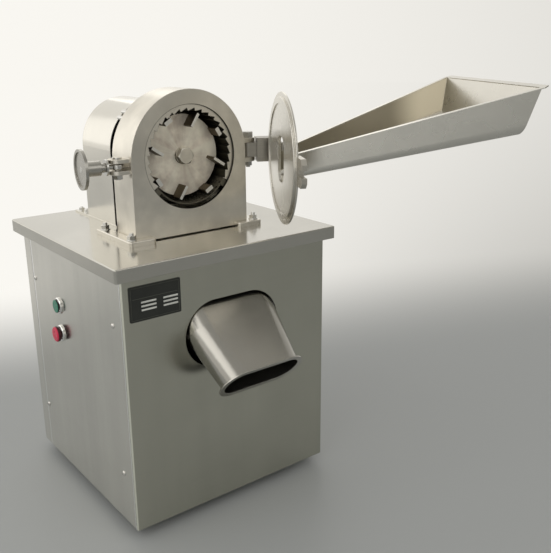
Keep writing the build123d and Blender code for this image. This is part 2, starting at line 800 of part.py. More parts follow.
def make_bearings():
    rings = []
    for y in (HOUSING_BACK + 8, BARREL_END - BEARING_W):
        ring = rod_y(AXIS_X, AXIS_Z, BARREL_BORE_R, y, y + BEARING_W)
        rings.append(ring - rod_y(AXIS_X, AXIS_Z, SHAFT_R + RUN_FIT, y - 1, y + BEARING_W + 1))
    return Compound(children=rings)


def make_mill_pulley():
    body = rod_y(AXIS_X, AXIS_Z, PULLEY_R, PULLEY_Y, PULLEY_END)
    for y in (PULLEY_Y, PULLEY_END - RIM_T):
        body += rod_y(AXIS_X, AXIS_Z, PULLEY_R + RIM_H, y, y + RIM_T)
    return body - rod_y(AXIS_X, AXIS_Z, SHAFT_R, PULLEY_Y - 1, PULLEY_END + 1)


def make_motor_pulley():
    body = rod_y(AXIS_X, MOTOR_Z, MOTOR_PULLEY_R, PULLEY_Y, PULLEY_END)
    for y in (PULLEY_Y, PULLEY_END - RIM_T):
        body += rod_y(AXIS_X, MOTOR_Z, MOTOR_PULLEY_R + RIM_H, y, y + RIM_T)
    return body - rod_y(AXIS_X, MOTOR_Z, MOTOR_SHAFT_R, PULLEY_Y - 1, PULLEY_END + 1)


def belt_loop(extra, y0, y1):
    r0 = PULLEY_R + extra
    r1 = MOTOR_PULLEY_R + extra
    span = AXIS_Z - MOTOR_Z
    a = math.asin((r1 - r0) / span)
    c = math.cos(a)
    s = math.sin(a)
    with BuildSketch(Plane.XZ) as outline:
        with BuildLine():
            low_l = (AXIS_X - r1 * c, MOTOR_Z + r1 * s)
            low_r = (AXIS_X + r1 * c, MOTOR_Z + r1 * s)
            top_l = (AXIS_X - r0 * c, AXIS_Z + r0 * s)
            top_r = (AXIS_X + r0 * c, AXIS_Z + r0 * s)
            ThreePointArc(low_l, (AXIS_X, MOTOR_Z - r1), low_r)
            Line(low_r, top_r)
            ThreePointArc(top_r, (AXIS_X, AXIS_Z + r0), top_l)
            Line(top_l, low_l)
        make_face()
    return Pos(0, y1, 0) * extrude(outline.sketch, y1 - y0)


def make_belt():
    y0 = PULLEY_Y + RIM_T + BELT_GAP
    y1 = PULLEY_END - RIM_T - BELT_GAP
    outer = belt_loop(BELT_GAP + BELT_T, y0, y1)
    return outer - belt_loop(BELT_GAP, y0 - 1, y1 + 1)


def make_motor_body():
    body = rod_y(AXIS_X, MOTOR_Z, MOTOR_R - FIN_H, MOTOR_FRONT, MOTOR_BACK)
    fins = []
    y0 = MOTOR_FRONT + FIN_FRONT
    y1 = MOTOR_BACK - FIN_BACK
    for k in range(FIN_COUNT):
        angle = FULL_TURN * k / FIN_COUNT
        x0 = AXIS_X + MOTOR_R - FIN_H - 2
        fin = block(x0, AXIS_X + MOTOR_R, y0, y1, MOTOR_Z - FIN_T / 2, MOTOR_Z + FIN_T / 2)
        turn = Pos(AXIS_X, 0, MOTOR_Z) * Rot(0, -angle, 0) * Pos(-AXIS_X, 0, -MOTOR_Z)
        fins.append(turn * fin)
    body += fins
    half = MOTOR_FOOT_W / 2
    z0 = FOOT_H + SHEET
    foot = block(AXIS_X - half, AXIS_X + half, y0, y1, z0, z0 + MOTOR_FOOT_H)
    for sx in (-1, 1):
        x0 = AXIS_X + sx * MOTOR_LEG_IN
        x1 = AXIS_X + sx * MOTOR_LEG_OUT
        foot += block(min(x0, x1), max(x0, x1), y0, y1, z0, MOTOR_Z - MOTOR_R / 2)
    nose = rod_y(AXIS_X, MOTOR_Z, MOTOR_NOSE_R, MOTOR_BACK, MOTOR_BACK + MOTOR_NOSE_T)
    y_in = MOTOR_BACK - MOTOR_SOCKET - RUN_CLEAR
    socket = rod_y(AXIS_X, MOTOR_Z, MOTOR_SHAFT_R + RUN_FIT, y_in, MOTOR_BACK + MOTOR_NOSE_T + 1)
    return body + foot + nose - socket


def make_motor_fan_cover():
    cover = rod_y(AXIS_X, MOTOR_Z, MOTOR_R + COWL_T, MOTOR_FRONT - COWL_LEN, MOTOR_FRONT + FIN_H)
    cover -= rod_y(AXIS_X, MOTOR_Z, MOTOR_R - FIN_H, MOTOR_FRONT - COWL_LEN + COWL_T, MOTOR_FRONT + FIN_H + 1)
    slots = []
    y0 = MOTOR_FRONT - COWL_LEN - 1
    y1 = y0 + COWL_T + 2
    x0 = AXIS_X + 0.3 * MOTOR_R
    x1 = AXIS_X + 0.78 * MOTOR_R
    for k in range(COWL_SLOTS):
        slot = block(x0, x1, y0, y1, MOTOR_Z - FIN_H / 2, MOTOR_Z + FIN_H / 2)
        turn = Pos(AXIS_X, 0, MOTOR_Z) * Rot(0, FULL_TURN * k / COWL_SLOTS, 0) * Pos(-AXIS_X, 0, -MOTOR_Z)
        slots.append(turn * slot)
    return cover - slots


def make_motor_terminal_box():
    x0 = AXIS_X + MOTOR_R - 4
    half = TERMINAL_H / 2
    box = block(x0, x0 + TERMINAL_W, TERMINAL_Y0, TERMINAL_Y1, MOTOR_Z - half, MOTOR_Z + half)
    return box - rod_y(AXIS_X, MOTOR_Z, MOTOR_R, TERMINAL_Y0 - 1, TERMINAL_Y1 + 1)


def make_motor_shaft():
    return rod_y(AXIS_X, MOTOR_Z, MOTOR_SHAFT_R, MOTOR_BACK - MOTOR_SOCKET, PULLEY_END + 6)


def make_motor_bolts():
    bolts = []
    z0 = FOOT_H + SHEET + MOTOR_FOOT_H
    front = MOTOR_FRONT + FIN_FRONT + MOTOR_BOLT_EDGE
    back = MOTOR_BACK - FIN_BACK - MOTOR_BOLT_EDGE
    for x in (-MOTOR_BOLT_X, MOTOR_BOLT_X):
        for y in (front, back):
            bolts.append(hex_z(AXIS_X + x, y, MOTOR_BOLT_AF, z0, z0 + MOTOR_BOLT_T))
    return Compound(children=bolts)


# guard and head feet


def make_guard():
    # rolled shell with a back wall, open towards the mill head and below
    middle = AXIS_Z + GUARD_RISE
    shell = arch(GUARD_R, GUARD_FRONT, GUARD_BACK, TABLE_Z + GUARD_BASE_T, middle)
    shell = fillet(shell.edges().filter_by(GeomType.CIRCLE).group_by(Axis.Y)[-1], GUARD_ROUND)
    inside = arch(GUARD_R - GUARD_T, GUARD_FRONT - 1, GUARD_BACK - GUARD_T, TABLE_Z + 1, middle)
    return shell - inside


def make_guard_base():
    half = GUARD_BASE_W / 2
    plate = block(AXIS_X - half, AXIS_X + half, GUARD_BASE_Y0, GUARD_BASE_Y1, TABLE_Z, TABLE_Z + GUARD_BASE_T)
    inner = GUARD_R - 6
    hollow = block(AXIS_X - inner, AXIS_X + inner, GUARD_BASE_Y0 - 1, GUARD_BACK - 8, TABLE_Z - 1, TABLE_Z + 5)
    return plate - hollow


def make_guard_bolts():
    bolts = []
    z = TABLE_Z + GUARD_BASE_T
    for sx in (-1, 1):
        for y in (GUARD_BOLT_Y, GUARD_BOLT_Y + GUARD_BOLT_STEP):
            bolts.append(hex_z(AXIS_X + sx * GUARD_BOLT_X, y, GUARD_BOLT_AF, z, z + GUARD_BOLT_T))
    return Compound(children=bolts)


def make_back_studs():
    studs = []
    x = AXIS_X + STUD_POS_R
    for angle in STUD_DEG:
        stud = rod_y(x, AXIS_Z, STUD_R, HOUSING_BACK, HOUSING_BACK + STUD_LEN)
        nut = hex_y(x, AXIS_Z, STUD_NUT_AF, HOUSING_BACK, HOUSING_BACK + STUD_NUT_T)
        studs.append(spin_y(stud + nut, angle))
    return Compound(children=studs)


def foot_plate(side, tongue_to):
    outer = AXIS_X + side * (ARCH_R + FOOT_PLATE_OUT)
    near = AXIS_X + side * ARCH_R
    z0 = TABLE_Z
    z1 = TABLE_Z + FOOT_PLATE_T
    strip = block(min(outer, near), max(outer, near), FOOT_PLATE_FRONT, FOOT_PLATE_BACK, z0, z1)
    tongue = block(min(outer, tongue_to), max(outer, tongue_to), FOOT_PLATE_FRONT, FACE_Y, z0, z1)
    plate = strip + tongue
    plate = fillet(plate.edges().filter_by(Axis.Z).group_by(Axis.Y)[0], FOOT_PLATE_CORNER)
    return fillet(plate.faces().sort_by(Axis.Z)[-1].edges(), FOOT_PLATE_EDGE)


def head_bolt_places():
    for side in (-1, 1):
        for y in (HEAD_BOLT_Y0, HEAD_BOLT_Y1):
            yield AXIS_X + side * (ARCH_R + FOOT_PLATE_OUT / 2), y


def make_head_bolts():
    bolts = []
    z = TABLE_Z + FOOT_PLATE_T
    for x, y in head_bolt_places():
        washer = rod_z(x, y, 8.5, z, z + 1.5)
        nut = hex_z(x, y, HEAD_BOLT_AF, z + 1.5, z + 1.5 + HEAD_BOLT_T)
        tip = rod_z(x, y, 4, z + 1.5 + HEAD_BOLT_T, z + 5 + HEAD_BOLT_T)
        bolts.append(washer + nut + tip)
    return Compound(children=bolts)


# door


def make_door_disc():
    rim = rod_y(AXIS_X, DOOR_Z, DOOR_R, DOOR_OUT_Y, DOOR_RIM_Y)
    rim = fillet(rim.edges().filter_by(GeomType.CIRCLE), 1.2)
    boss = rod_y(AXIS_X, DOOR_Z, BOSS_R, DOOR_RIM_Y, DOOR_IN_Y)
    boss = chamfer(boss.edges().filter_by(GeomType.CIRCLE).group_by(Axis.Y)[-1], 0.8)
    dish = rod_y(AXIS_X, DOOR_Z, DISH_R, DOOR_IN_Y - DISH_T, DOOR_IN_Y + 1)
    slot = block(
        AXIS_X - SLOT_W / 2,
        AXIS_X + SLOT_W / 2,
        DOOR_OUT_Y - 1,
        DOOR_IN_Y + 1,
        DOOR_Z - SLOT_H / 2,
        DOOR_Z + SLOT_H / 2,
    )
    slot = fillet(slot.edges().filter_by(Axis.Y), SLOT_W / 2 - 4)
    return rim + boss - dish - slot


def make_door_arm():
    z0 = TABLE_Z + HINGE_Z0
    z1 = TABLE_Z + HINGE_Z1
    k0 = z0 + EAR_T + KNUCKLE_GAP
    k1 = z1 - EAR_T - KNUCKLE_GAP
    knuckle = rod_z(HINGE_X, HINGE_Y, EAR_R, k0, k1)
    reach_y = HINGE_Y - EAR_R - 2
    link = block(HINGE_X - EAR_R, HINGE_X + EAR_R, reach_y, HINGE_Y, k0, k1)
    post = block(HINGE_X - EAR_R - 6, HINGE_X + EAR_R, DOOR_OUT_Y - ARM_T, reach_y, z0, z1)
    strap = block(ARM_IN, HINGE_X + EAR_R, DOOR_OUT_Y - ARM_T, DOOR_OUT_Y, z0, z1)
    arm = knuckle + link + post + strap
    arm = fillet(arm.edges().filter_by(Axis.Z).group_by(Axis.X)[0], 4)
    return arm - rod_z(HINGE_X, HINGE_Y, HINGE_PIN_R + RUN_FIT, k0 - 1, k1 + 1)


def make_arm_screws():
    screws = []
    y = DOOR_OUT_Y - ARM_T
    for x in (ARM_IN + ARM_SCREW_EDGE, ARM_IN + ARM_SCREW_EDGE + ARM_SCREW_STEP):
        for dz in (-2.2 * ARM_SCREW_R, 2.2 * ARM_SCREW_R):
            z = TABLE_Z + (HINGE_Z0 + HINGE_Z1) / 2 + dz
            head = rod_y(x, z, ARM_SCREW_R, y - 3, y)
            screws.append(head - hex_y(x, z, 0.9 * ARM_SCREW_R, y - 4, y - 1))
    return Compound(children=screws)


def make_hinge_bolt():
    z0 = TABLE_Z + HINGE_Z0
    z1 = TABLE_Z + HINGE_Z1
    head = hex_z(HINGE_X, HINGE_Y, HINGE_HEAD_AF, z1, z1 + HINGE_HEAD_T)
    return head + rod_z(HINGE_X, HINGE_Y, HINGE_PIN_R, z0 - HINGE_NUT_T - 3, z1)


def make_hinge_nut():
    z0 = TABLE_Z + HINGE_Z0
    nut = hex_z(HINGE_X, HINGE_Y, HINGE_NUT_AF, z0 - HINGE_NUT_T, z0)
    return nut - rod_z(HINGE_X, HINGE_Y, HINGE_PIN_R, z0 - HINGE_NUT_T - 1, z0 + 1)


def make_latch_fork():
    y0 = DOOR_IN_Y - FORK_FRONT
    x0 = AXIS_X - FORK_OUT
    x1 = AXIS_X - FORK_IN
    z0 = LATCH_Z - FORK_H / 2
    z1 = LATCH_Z + FORK_H / 2
    fork = block(x0, x1, y0, DOOR_RIM_Y - 0.5, z0, z1)
    fork = chamfer(fork.edges().filter_by(Axis.Y).group_by(Axis.X)[0], FORK_CHAMFER)
    slot_in = PIVOT_X + BOLT_R + 3
    fork -= block(x0 - 1, slot_in, y0 - 1, DOOR_RIM_Y, LATCH_Z - FORK_SLOT / 2, LATCH_Z + FORK_SLOT / 2)
    return fork - rod_y(AXIS_X, DOOR_Z, DOOR_R, DOOR_OUT_Y, DOOR_RIM_Y + 1)


def hopper_section(n, half_top, half_low, top, low, bend, lift, shrink):
    # U shaped section in the plane that stands at distance n from the door
    y = DOOR_OUT_Y - n
    a = half_top - shrink
    b = half_low - shrink
    z0 = low + shrink
    r = bend - shrink
    z1 = top + lift
    widen = (a - b) * lift / (top - low)
    a = a + widen
    slope = math.atan2(a - b, z1 - z0)
    hug = r * math.tan((math.pi / 2 - slope) / 2)
    side_x = b + hug * math.sin(slope)
    side_z = z0 + hug * math.cos(slope)
    mid = (math.pi / 2 - slope) / 2
    cx = b - hug
    cz = z0 + r
    mx = cx + r * math.sin(mid)
    mz = cz - r * math.cos(mid)
    plane = Plane(origin=(AXIS_X, y, DOOR_Z), x_dir=(1, 0, 0), z_dir=(0, -1, 0))

    def place(x, z):
        return Vector(x, z)

    with BuildSketch(plane) as outline:
        with BuildLine():
            Line(place(-a, z1), place(-side_x, side_z))
            ThreePointArc(place(-side_x, side_z), place(-mx, mz), place(-cx, z0))
            Line(place(-cx, z0), place(cx, z0))
            ThreePointArc(place(cx, z0), place(mx, mz), place(side_x, side_z))
            Line(place(side_x, side_z), place(a, z1))
            Line(place(a, z1), place(-a, z1))
        make_face()
    return outline.sketch


def hopper_body(shrink, lift, near, far):
    first = hopper_section(
        near, HOP_NEAR_HALF, HOP_NEAR_LOW_HALF, HOP_NEAR_TOP, HOP_NEAR_LOW, HOP_NEAR_BEND, lift, shrink
    )
    last = hopper_section(
        far, HOP_FAR_HALF, HOP_FAR_LOW_HALF, HOP_FAR_TOP, HOP_FAR_LOW, HOP_BEND, lift, shrink
    )
    return loft([first, last], ruled=True)


def end_wedge(offset):
    # everything beyond the sloping end wall of the hopper
    y_top = DOOR_OUT_Y - HOP_LEN + offset
    y_low = DOOR_OUT_Y - HOP_LOW_LEN + offset
    z_top = DOOR_Z + HOP_FAR_TOP
    z_low = DOOR_Z + HOP_FAR_LOW
    lean = (y_low - y_top) / (z_top - z_low)
    rise = HOP_SPARE
    with BuildSketch(Plane.YZ) as outline:
        with BuildLine():
            Polyline(
                (y_top - lean * rise, z_top + rise),
                (y_low + lean * rise, z_low - rise),
                (y_low - HOP_LEN, z_low - rise),
                (y_top - HOP_LEN, z_top + rise),
                close=True,
            )
        make_face()
    half = HOP_FAR_HALF + HOP_SPARE / 2
    return Pos(AXIS_X - half, 0, 0) * extrude(outline.sketch, 2 * half)


def rim_wedge():
    # everything above the plane of the hopper rim
    slope = (HOP_FAR_TOP - HOP_NEAR_TOP) / HOP_LEN
    y0 = DOOR_OUT_Y + HOP_SPARE
    y1 = DOOR_OUT_Y - HOP_LEN - HOP_SPARE
    z0 = DOOR_Z + HOP_NEAR_TOP - HOP_SPARE * slope
    z1 = DOOR_Z + HOP_FAR_TOP + HOP_SPARE * slope
    top = HOP_FAR_TOP + HOP_SPARE
    with BuildSketch(Plane.YZ) as outline:
        with BuildLine():
            Polyline((y0, z0), (y1, z1), (y1, z1 + top), (y0, z0 + top), close=True)
        make_face()
    half = HOP_FAR_HALF + HOP_SPARE / 2
    return Pos(AXIS_X - half, 0, 0) * extrude(outline.sketch, 2 * half)


def make_hopper():
    extra = 10.0
    outer = hopper_body(0, extra, 0, HOP_LEN)
    outer = outer - end_wedge(0) - rim_wedge()
    inner = hopper_body(HOP_SHEET, extra + 20, -1, HOP_LEN)
    inner = inner - end_wedge(HOP_SHEET)
    return outer - inner


def make_hopper_rim():
    # folded flange around the two sides and the end of the hopper
    slope = math.atan2(HOP_FAR_TOP - HOP_NEAR_TOP, HOP_LEN)
    run = HOP_LEN / math.cos(slope)
    plane = Plane(
        origin=(AXIS_X, DOOR_OUT_Y, DOOR_Z + HOP_NEAR_TOP),
        x_dir=(1, 0, 0),
        z_dir=(0, math.sin(slope), math.cos(slope)),
    )
    start = HOP_RIM_START
    flare = (HOP_FAR_HALF - HOP_NEAR_HALF) / run
    near = HOP_NEAR_HALF + flare * start
    inner_near = near - HOP_SHEET
    inner_far = HOP_FAR_HALF - HOP_SHEET
    with BuildSketch(plane) as outline:
        with BuildLine():
            Polyline(
                (near + HOP_RIM, -start),
                (HOP_FAR_HALF + HOP_RIM, -run),
                (HOP_FAR_HALF + HOP_RIM - 6, -run - HOP_RIM),
                (-HOP_FAR_HALF - HOP_RIM + 6, -run - HOP_RIM),
                (-HOP_FAR_HALF - HOP_RIM, -run),
                (-near - HOP_RIM, -start),
                (-inner_near, -start),
                (-inner_far, -run + HOP_SHEET),
                (inner_far, -run + HOP_SHEET),
                (inner_near, -start),
                close=True,
            )
        make_face()
    return extrude(outline.sketch, HOP_SHEET)


def make_hopper_plate():
    # mounting plate of the hopper on the outer face of the door
    y0 = DOOR_OUT_Y - HOP_PLATE_T
    half = HOP_PLATE_W / 2
    z0 = DOOR_Z - HOP_PLATE_H / 2
    plate = block(AXIS_X - half, AXIS_X + half, y0, DOOR_OUT_Y, z0, z0 + HOP_PLATE_H)
    plate = fillet(plate.edges().filter_by(Axis.Y), HOP_PLATE_CORNER)
    plate -= hopper_body(-HOP_PLATE_GAP, HOP_SPARE, 0, HOP_LEN)
    slot = block(
        AXIS_X - SLOT_W / 2,
        AXIS_X + SLOT_W / 2,
        y0 - 1,
        DOOR_OUT_Y + 1,
        DOOR_Z - SLOT_H / 2 + HOP_PLATE_CORNER,
        DOOR_Z + SLOT_H / 2,
    )
    return plate - slot


def make_hopper_screws():
    screws = []
    y = DOOR_OUT_Y - HOP_PLATE_T
    for sx in (-1, 1):
        for sz in (-1, 1):
            x = AXIS_X + sx * HOP_SCREW_X
            z = DOOR_Z + sz * HOP_SCREW_Z
            screws.append(rod_y(x, z, 4, y - 3, y))
    return Compound(children=screws)


# latch


def make_clevis_pin():
    z1 = LATCH_Z + CLEVIS_GAP / 2 + CLEVIS_T
    z0 = LATCH_Z - CLEVIS_GAP / 2 - CLEVIS_T
    pin = rod_z(PIVOT_X, PIVOT_Y, LATCH_PIN_R, z0 - PIN_WASHER_T - PIN_NUT_T - 1, z1)
    return pin + rod_z(PIVOT_X, PIVOT_Y, LATCH_PIN_R + 3, z1, z1 + PIN_HEAD_T)


def make_clevis_nut():
    z0 = LATCH_Z - CLEVIS_GAP / 2 - CLEVIS_T
    z_mid = z0 - PIN_WASHER_T
    z_low = z_mid - PIN_NUT_T
    washer = rod_z(PIVOT_X, PIVOT_Y, EYE_R, z_mid, z0)
    nut = hex_z(PIVOT_X, PIVOT_Y, PIN_NUT_AF, z_low, z_mid)
    return washer + nut - rod_z(PIVOT_X, PIVOT_Y, LATCH_PIN_R, z_low - 1, z0 + 1)


def along(r, d0, d1):
    # cylinder on the axis of the swing bolt, d0 to d1 from its pivot
    return swung(rod_x(0, 0, r, d0, d1))


def make_swing_bolt():
    # rounded eye, a neck that tapers away from it, then the threaded shank
    eye = rod_z(0, 0, EYE_R, -EYE_T / 2, EYE_T / 2)
    eye = swung(fillet(eye.edges().filter_by(GeomType.CIRCLE), EYE_ROUND))
    neck_len = BOLT_NECK_TO - BOLT_NECK_FROM
    taper = Rot(0, 90, 0) * Cone(EYE_T / 2 - 0.3, BOLT_NECK_R, neck_len)
    neck = swung(Pos(BOLT_NECK_FROM + neck_len / 2, 0, 0) * taper)
    shank = along(BOLT_R, BOLT_NECK_TO, SWING_LEN)
    bore = swung(rod_z(0, 0, LATCH_PIN_R + RUN_FIT, -EYE_T, EYE_T))
    return eye + neck + shank - bore


def make_latch_washer():
    d1 = NUT_START + NUT_WASHER_T
    ring = along(NUT_WASHER_R, NUT_START, d1)
    return ring - along(BOLT_R + THREAD_CLEAR, NUT_START - 1, d1 + 1)


def make_handwheel():
    d0 = NUT_START + NUT_WASHER_T + RUN_CLEAR
    d1 = d0 + NUT_COLLAR_LEN
    d2 = d1 + HUB_LEN
    d3 = d2 + WHEEL_T
    collar = along(COLLAR_R, d0, d1)
    hub = along(HUB_R, d1, d2)
    disc = along(WHEEL_R, d2, d3)
    ring_cut = along(WHEEL_R - WHEEL_RIM, d2 + WHEEL_WEB, d3 + 1)
    body = collar + hub + (disc - ring_cut)
    return body - along(BOLT_R + THREAD_CLEAR, d0 - 1, d3 + 1)


# discharge duct


def duct_plane(s):
    a = math.radians(DUCT_SLOPE_DEG)
    y = -HALF_D - s * math.cos(a)
    z = OPEN_Z + DUCT_RAISE - s * math.sin(a)
    return Plane(origin=(0, y, z), x_dir=(1, 0, 0), z_dir=(0, -math.cos(a), -math.sin(a)))


def duct_sections(shrink, past):
    top = Plane(origin=(AXIS_X, OUTLET_Y, TOP_UNDER + past), x_dir=(1, 0, 0), z_dir=(0, 0, -1))
    sections = []
    for plane, w, h in (
        (top, DUCT_TOP_W, DUCT_TOP_D),
        (duct_plane(-DUCT_MID), DUCT_W, DUCT_H),
        (duct_plane(0), DUCT_W, DUCT_H),
        (duct_plane(DUCT_OUT + past), DUCT_END_W, DUCT_END_H),
    ):
        sections.append(plane * SlotOverall(w - 2 * shrink, h - 2 * shrink))
    return sections


def make_duct():
    outer = loft(duct_sections(0, 0), ruled=True)
    inner = loft(duct_sections(DUCT_SHEET, 0), ruled=True)
    return outer - inner + make_duct_lip()


def make_duct_lip():
    plane = duct_plane(DUCT_OUT)
    outer = extrude(plane * SlotOverall(DUCT_END_W + 2 * DUCT_LIP, DUCT_END_H + 2 * DUCT_LIP), 2.0)
    inner = extrude(plane * SlotOverall(DUCT_END_W - 2 * DUCT_SHEET, DUCT_END_H - 2 * DUCT_SHEET), 2.0)
    return outer - inner


def save_all():
    save("front_panel", make_front_panel())
    save("back_panel", make_back_panel())
    save("side_panel_right", make_side_panel())
    save("access_panel_left", make_access_panel())
    save("panel_screws", make_panel_screws())
    save("frame_posts", make_posts())
    save("base_tray", make_base_tray())
    save("feet", make_feet())
    save("foot_bushes", make_foot_bushes())
    save("worktop", make_worktop())
    save("nameplate", make_nameplate())
    save("button_bezels", Compound(children=[make_bezel(START_Z), make_bezel(STOP_Z)]))
    save("start_button", make_start_cap())
    save("stop_button", make_stop_cap())
    save("button_locknuts", make_locknuts())
    save("contact_carrier", make_contact_box())
    save("mill_housing", make_housing())
    save("liner_ring", make_liner())
    save("sieve", make_sieve())
    save("sieve_seats", make_sieve_seats())
    save("rotor_disc", make_rotor())
    bars = make_beaters(BEATER_DEG, BEATER_LEN, BEATER_T, HAMMER_TIP, BEATER_T, BEATER_SKEW_DEG)
    save("beater_bars", bars)
    save("beater_blocks", make_beaters(BLOCK_DEG, BLOCK_T, BLOCK_T, HAMMER_TIP, BLOCK_LEN))
    save("rotor_washer", make_rotor_washer())
    save("rotor_bolt", make_rotor_bolt())
    save("main_shaft", make_main_shaft())
    save("bearing_pedestal", make_bearing_barrel())
    save("flange_screws", make_flange_screws())
    save("bearings", make_bearings())
    save("mill_pulley", make_mill_pulley())
    save("motor_pulley", make_motor_pulley())
    save("drive_belt", make_belt())
    save("motor_body", make_motor_body())
    save("motor_fan_cover", make_motor_fan_cover())
    save("motor_terminal_box", make_motor_terminal_box())
    save("motor_shaft", make_motor_shaft())
    save("motor_bolts", make_motor_bolts())
    save("rear_guard", make_guard())
    save("guard_base", make_guard_base())
    save("guard_bolts", make_guard_bolts())
    save("back_studs", make_back_studs())
    save("foot_plate_left", foot_plate(-1, AXIS_X - ARCH_R + FOOT_PLATE_TONGUE - FOOT_PLATE_OUT))
    save("foot_plate_right", foot_plate(1, AXIS_X + ARCH_R - FOOT_PLATE_TONGUE + FOOT_PLATE_OUT))
    save("head_bolts", make_head_bolts())
    save("door_disc", opened(make_door_disc()))
    save("door_arm", opened(make_door_arm()))
    save("arm_screws", opened(make_arm_screws()))
    save("hinge_bolt", make_hinge_bolt())
    save("hinge_nut", make_hinge_nut())
    save("latch_fork", opened(make_latch_fork()))
    save("hopper", opened(make_hopper() + make_hopper_rim()))
    save("hopper_plate", opened(make_hopper_plate()))
    save("hopper_screws", opened(make_hopper_screws()))
    save("clevis_pin", make_clevis_pin())
    save("clevis_nut", make_clevis_nut())
    save("swing_bolt", make_swing_bolt())
    save("latch_washer", make_latch_washer())
    save("handwheel", make_handwheel())
    save("discharge_duct", make_duct())


save_all()
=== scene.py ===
import math

import bmesh
import bpy
from mathutils import Matrix, Vector


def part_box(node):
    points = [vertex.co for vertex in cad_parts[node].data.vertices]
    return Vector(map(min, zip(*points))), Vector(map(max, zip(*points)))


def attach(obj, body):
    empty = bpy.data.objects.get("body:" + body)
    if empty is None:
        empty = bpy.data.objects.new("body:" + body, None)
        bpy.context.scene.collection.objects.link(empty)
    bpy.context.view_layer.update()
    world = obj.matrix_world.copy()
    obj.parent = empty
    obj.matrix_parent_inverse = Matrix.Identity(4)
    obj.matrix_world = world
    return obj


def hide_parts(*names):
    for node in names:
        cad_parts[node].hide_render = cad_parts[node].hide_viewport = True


bl_info = {
    "name": "Laboratory mill",
    "version": (1, 0, 0),
    "blender": (4, 5, 0),
    "location": "3D View > Sidebar > Mill",
    "description": "Dresses the packed model of a laboratory hammer mill",
    "category": "Object",
}

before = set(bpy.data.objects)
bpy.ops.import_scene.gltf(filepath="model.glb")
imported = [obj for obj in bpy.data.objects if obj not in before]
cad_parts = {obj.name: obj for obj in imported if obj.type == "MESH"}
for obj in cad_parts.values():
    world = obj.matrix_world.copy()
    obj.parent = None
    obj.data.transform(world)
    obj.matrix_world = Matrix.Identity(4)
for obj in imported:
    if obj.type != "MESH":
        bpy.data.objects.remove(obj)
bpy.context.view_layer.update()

MM = 0.001

# Where the pieces stand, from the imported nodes.
DISC_LOW, DISC_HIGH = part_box("rotor_disc")
PLATE_LOW, PLATE_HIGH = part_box("nameplate")
LINER_LOW, LINER_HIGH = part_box("liner_ring")
ACCESS_LOW, ACCESS_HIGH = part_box("access_panel_left")
FRONT_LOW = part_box("front_panel")[0]
HOPPER_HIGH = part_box("hopper")[1]
ROTOR_CENTRE = (DISC_LOW + DISC_HIGH) / 2
BORE_RADIUS = (LINER_HIGH.x - LINER_LOW.x) / 2

# Directions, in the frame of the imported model.
OUT_LEFT = (-1.0, 0.0, 0.0)
OUT_RIGHT = (1.0, 0.0, 0.0)
OUT_FRONT = (0.0, -1.0, 0.0)
OUT_BACK = (0.0, 1.0, 0.0)
BEHIND = (0.40, 0.917, 0.0)
WINDOW_SIDE = (-0.20, 0.98, 0.0)
FAR_WALL = (-0.12, -0.985, 0.12)
BOLT_LIT_FACET = (0.0, -0.6, 0.8)

# How the steel finishes are made up: weights of one layer over the next, how much brighter or
# rougher it makes the steel, with the hems painted brighter as a highlight, and the width and
# colour of the painted shadow round a seated piece.
BAND_WEIGHT = 0.6
GRAIN_WEIGHT = 0.5
STREAK_GAIN = 1.45
HEM_HIGHLIGHT_GAIN = 1.9
HEM_HIGHLIGHT_START = 0.6
PATCH_ROUGHNESS = 0.05
GRAIN_ROUGHNESS = 0.6
MIDDLE_ROUGHNESS = 0.055
BUMP_STRENGTH = 0.5
SEAM_SHADOW_WIDTH = 0.0010
SHADOW = (0.035, 0.032, 0.026)

# How paint, plastic and rubber are made up, with a highlight painted along their edges.
SKIN_PATCH_SIZE = 24.0
SKIN_PATCHES = 0.12
SKIN_PATCH_ROUGHNESS = 0.10
SKIN_EDGE = 0.0006
SKIN_EDGE_HIGHLIGHT_GAIN = 1.6
SKIN_PEBBLES = 900.0
SKIN_BUMP_STRENGTH = 0.4

NUMBER, VECTOR, COLOUR = "NodeSocketFloat", "NodeSocketVector", "NodeSocketColor"
ORIGIN = (0.0, 0.0, 0.0)

# The Mix node's sockets for colours.
MIX_FIRST, MIX_SECOND, MIX_RESULT = 6, 7, 2


# ------------ node helpers

def feed(tree, slot, value):
    """Leads a socket to an input, or writes a plain value there."""
    if isinstance(value, bpy.types.NodeSocket):
        tree.links.new(value, slot)
    else:
        slot.default_value = value


def add_node(tree, kind, settings=None, **inputs):
    """A node in the tree; each input, with underscores for spaces, is a socket or a value."""
    node = tree.nodes.new(kind)
    for label, value in (settings or {}).items():
        setattr(node, label, value)
    for label, value in inputs.items():
        feed(tree, node.inputs[label.replace("_", " ")], value)
    return node


def new_tree(name, kind, inputs, outputs):
    """An empty node tree with named sockets, and what its input node gives."""
    tree = bpy.data.node_groups.new(name, kind)
    for label, socket_type, value in inputs:
        socket = tree.interface.new_socket(name=label, in_out="INPUT", socket_type=socket_type)
        if value is not None:
            socket.default_value = value
    for label, socket_type in outputs:
        tree.interface.new_socket(name=label, in_out="OUTPUT", socket_type=socket_type)
    return tree, tree.nodes.new("NodeGroupInput").outputs


def new_shader_group(name, inputs, *outputs):
    """An empty shader node group, and what its input node gives."""
    return new_tree(name, "ShaderNodeTree", inputs, outputs)


def closed(tree, **results):
    """Leads the results to the tree's outputs, and returns the tree."""
    add_node(tree, "NodeGroupOutput", **results)
    return tree


def place_group(tree, group, **inputs):
    """A shader node group placed in the tree; returns its outputs."""
    return add_node(tree, "ShaderNodeGroup", {"node_tree": group}, **inputs).outputs


def add_math(tree, operation, *operands, clamp=False):
    """A Math node in the tree; each operand is a socket or a number. Returns its output."""
    node = add_node(tree, "ShaderNodeMath", {"operation": operation, "use_clamp": clamp})
    for slot, operand in zip(node.inputs, operands):
        feed(tree, slot, operand)
    return node.outputs[0]


def times(tree, first, second):
    """The product of two sockets, or of a socket and a number."""
    return add_math(tree, "MULTIPLY", first, second)


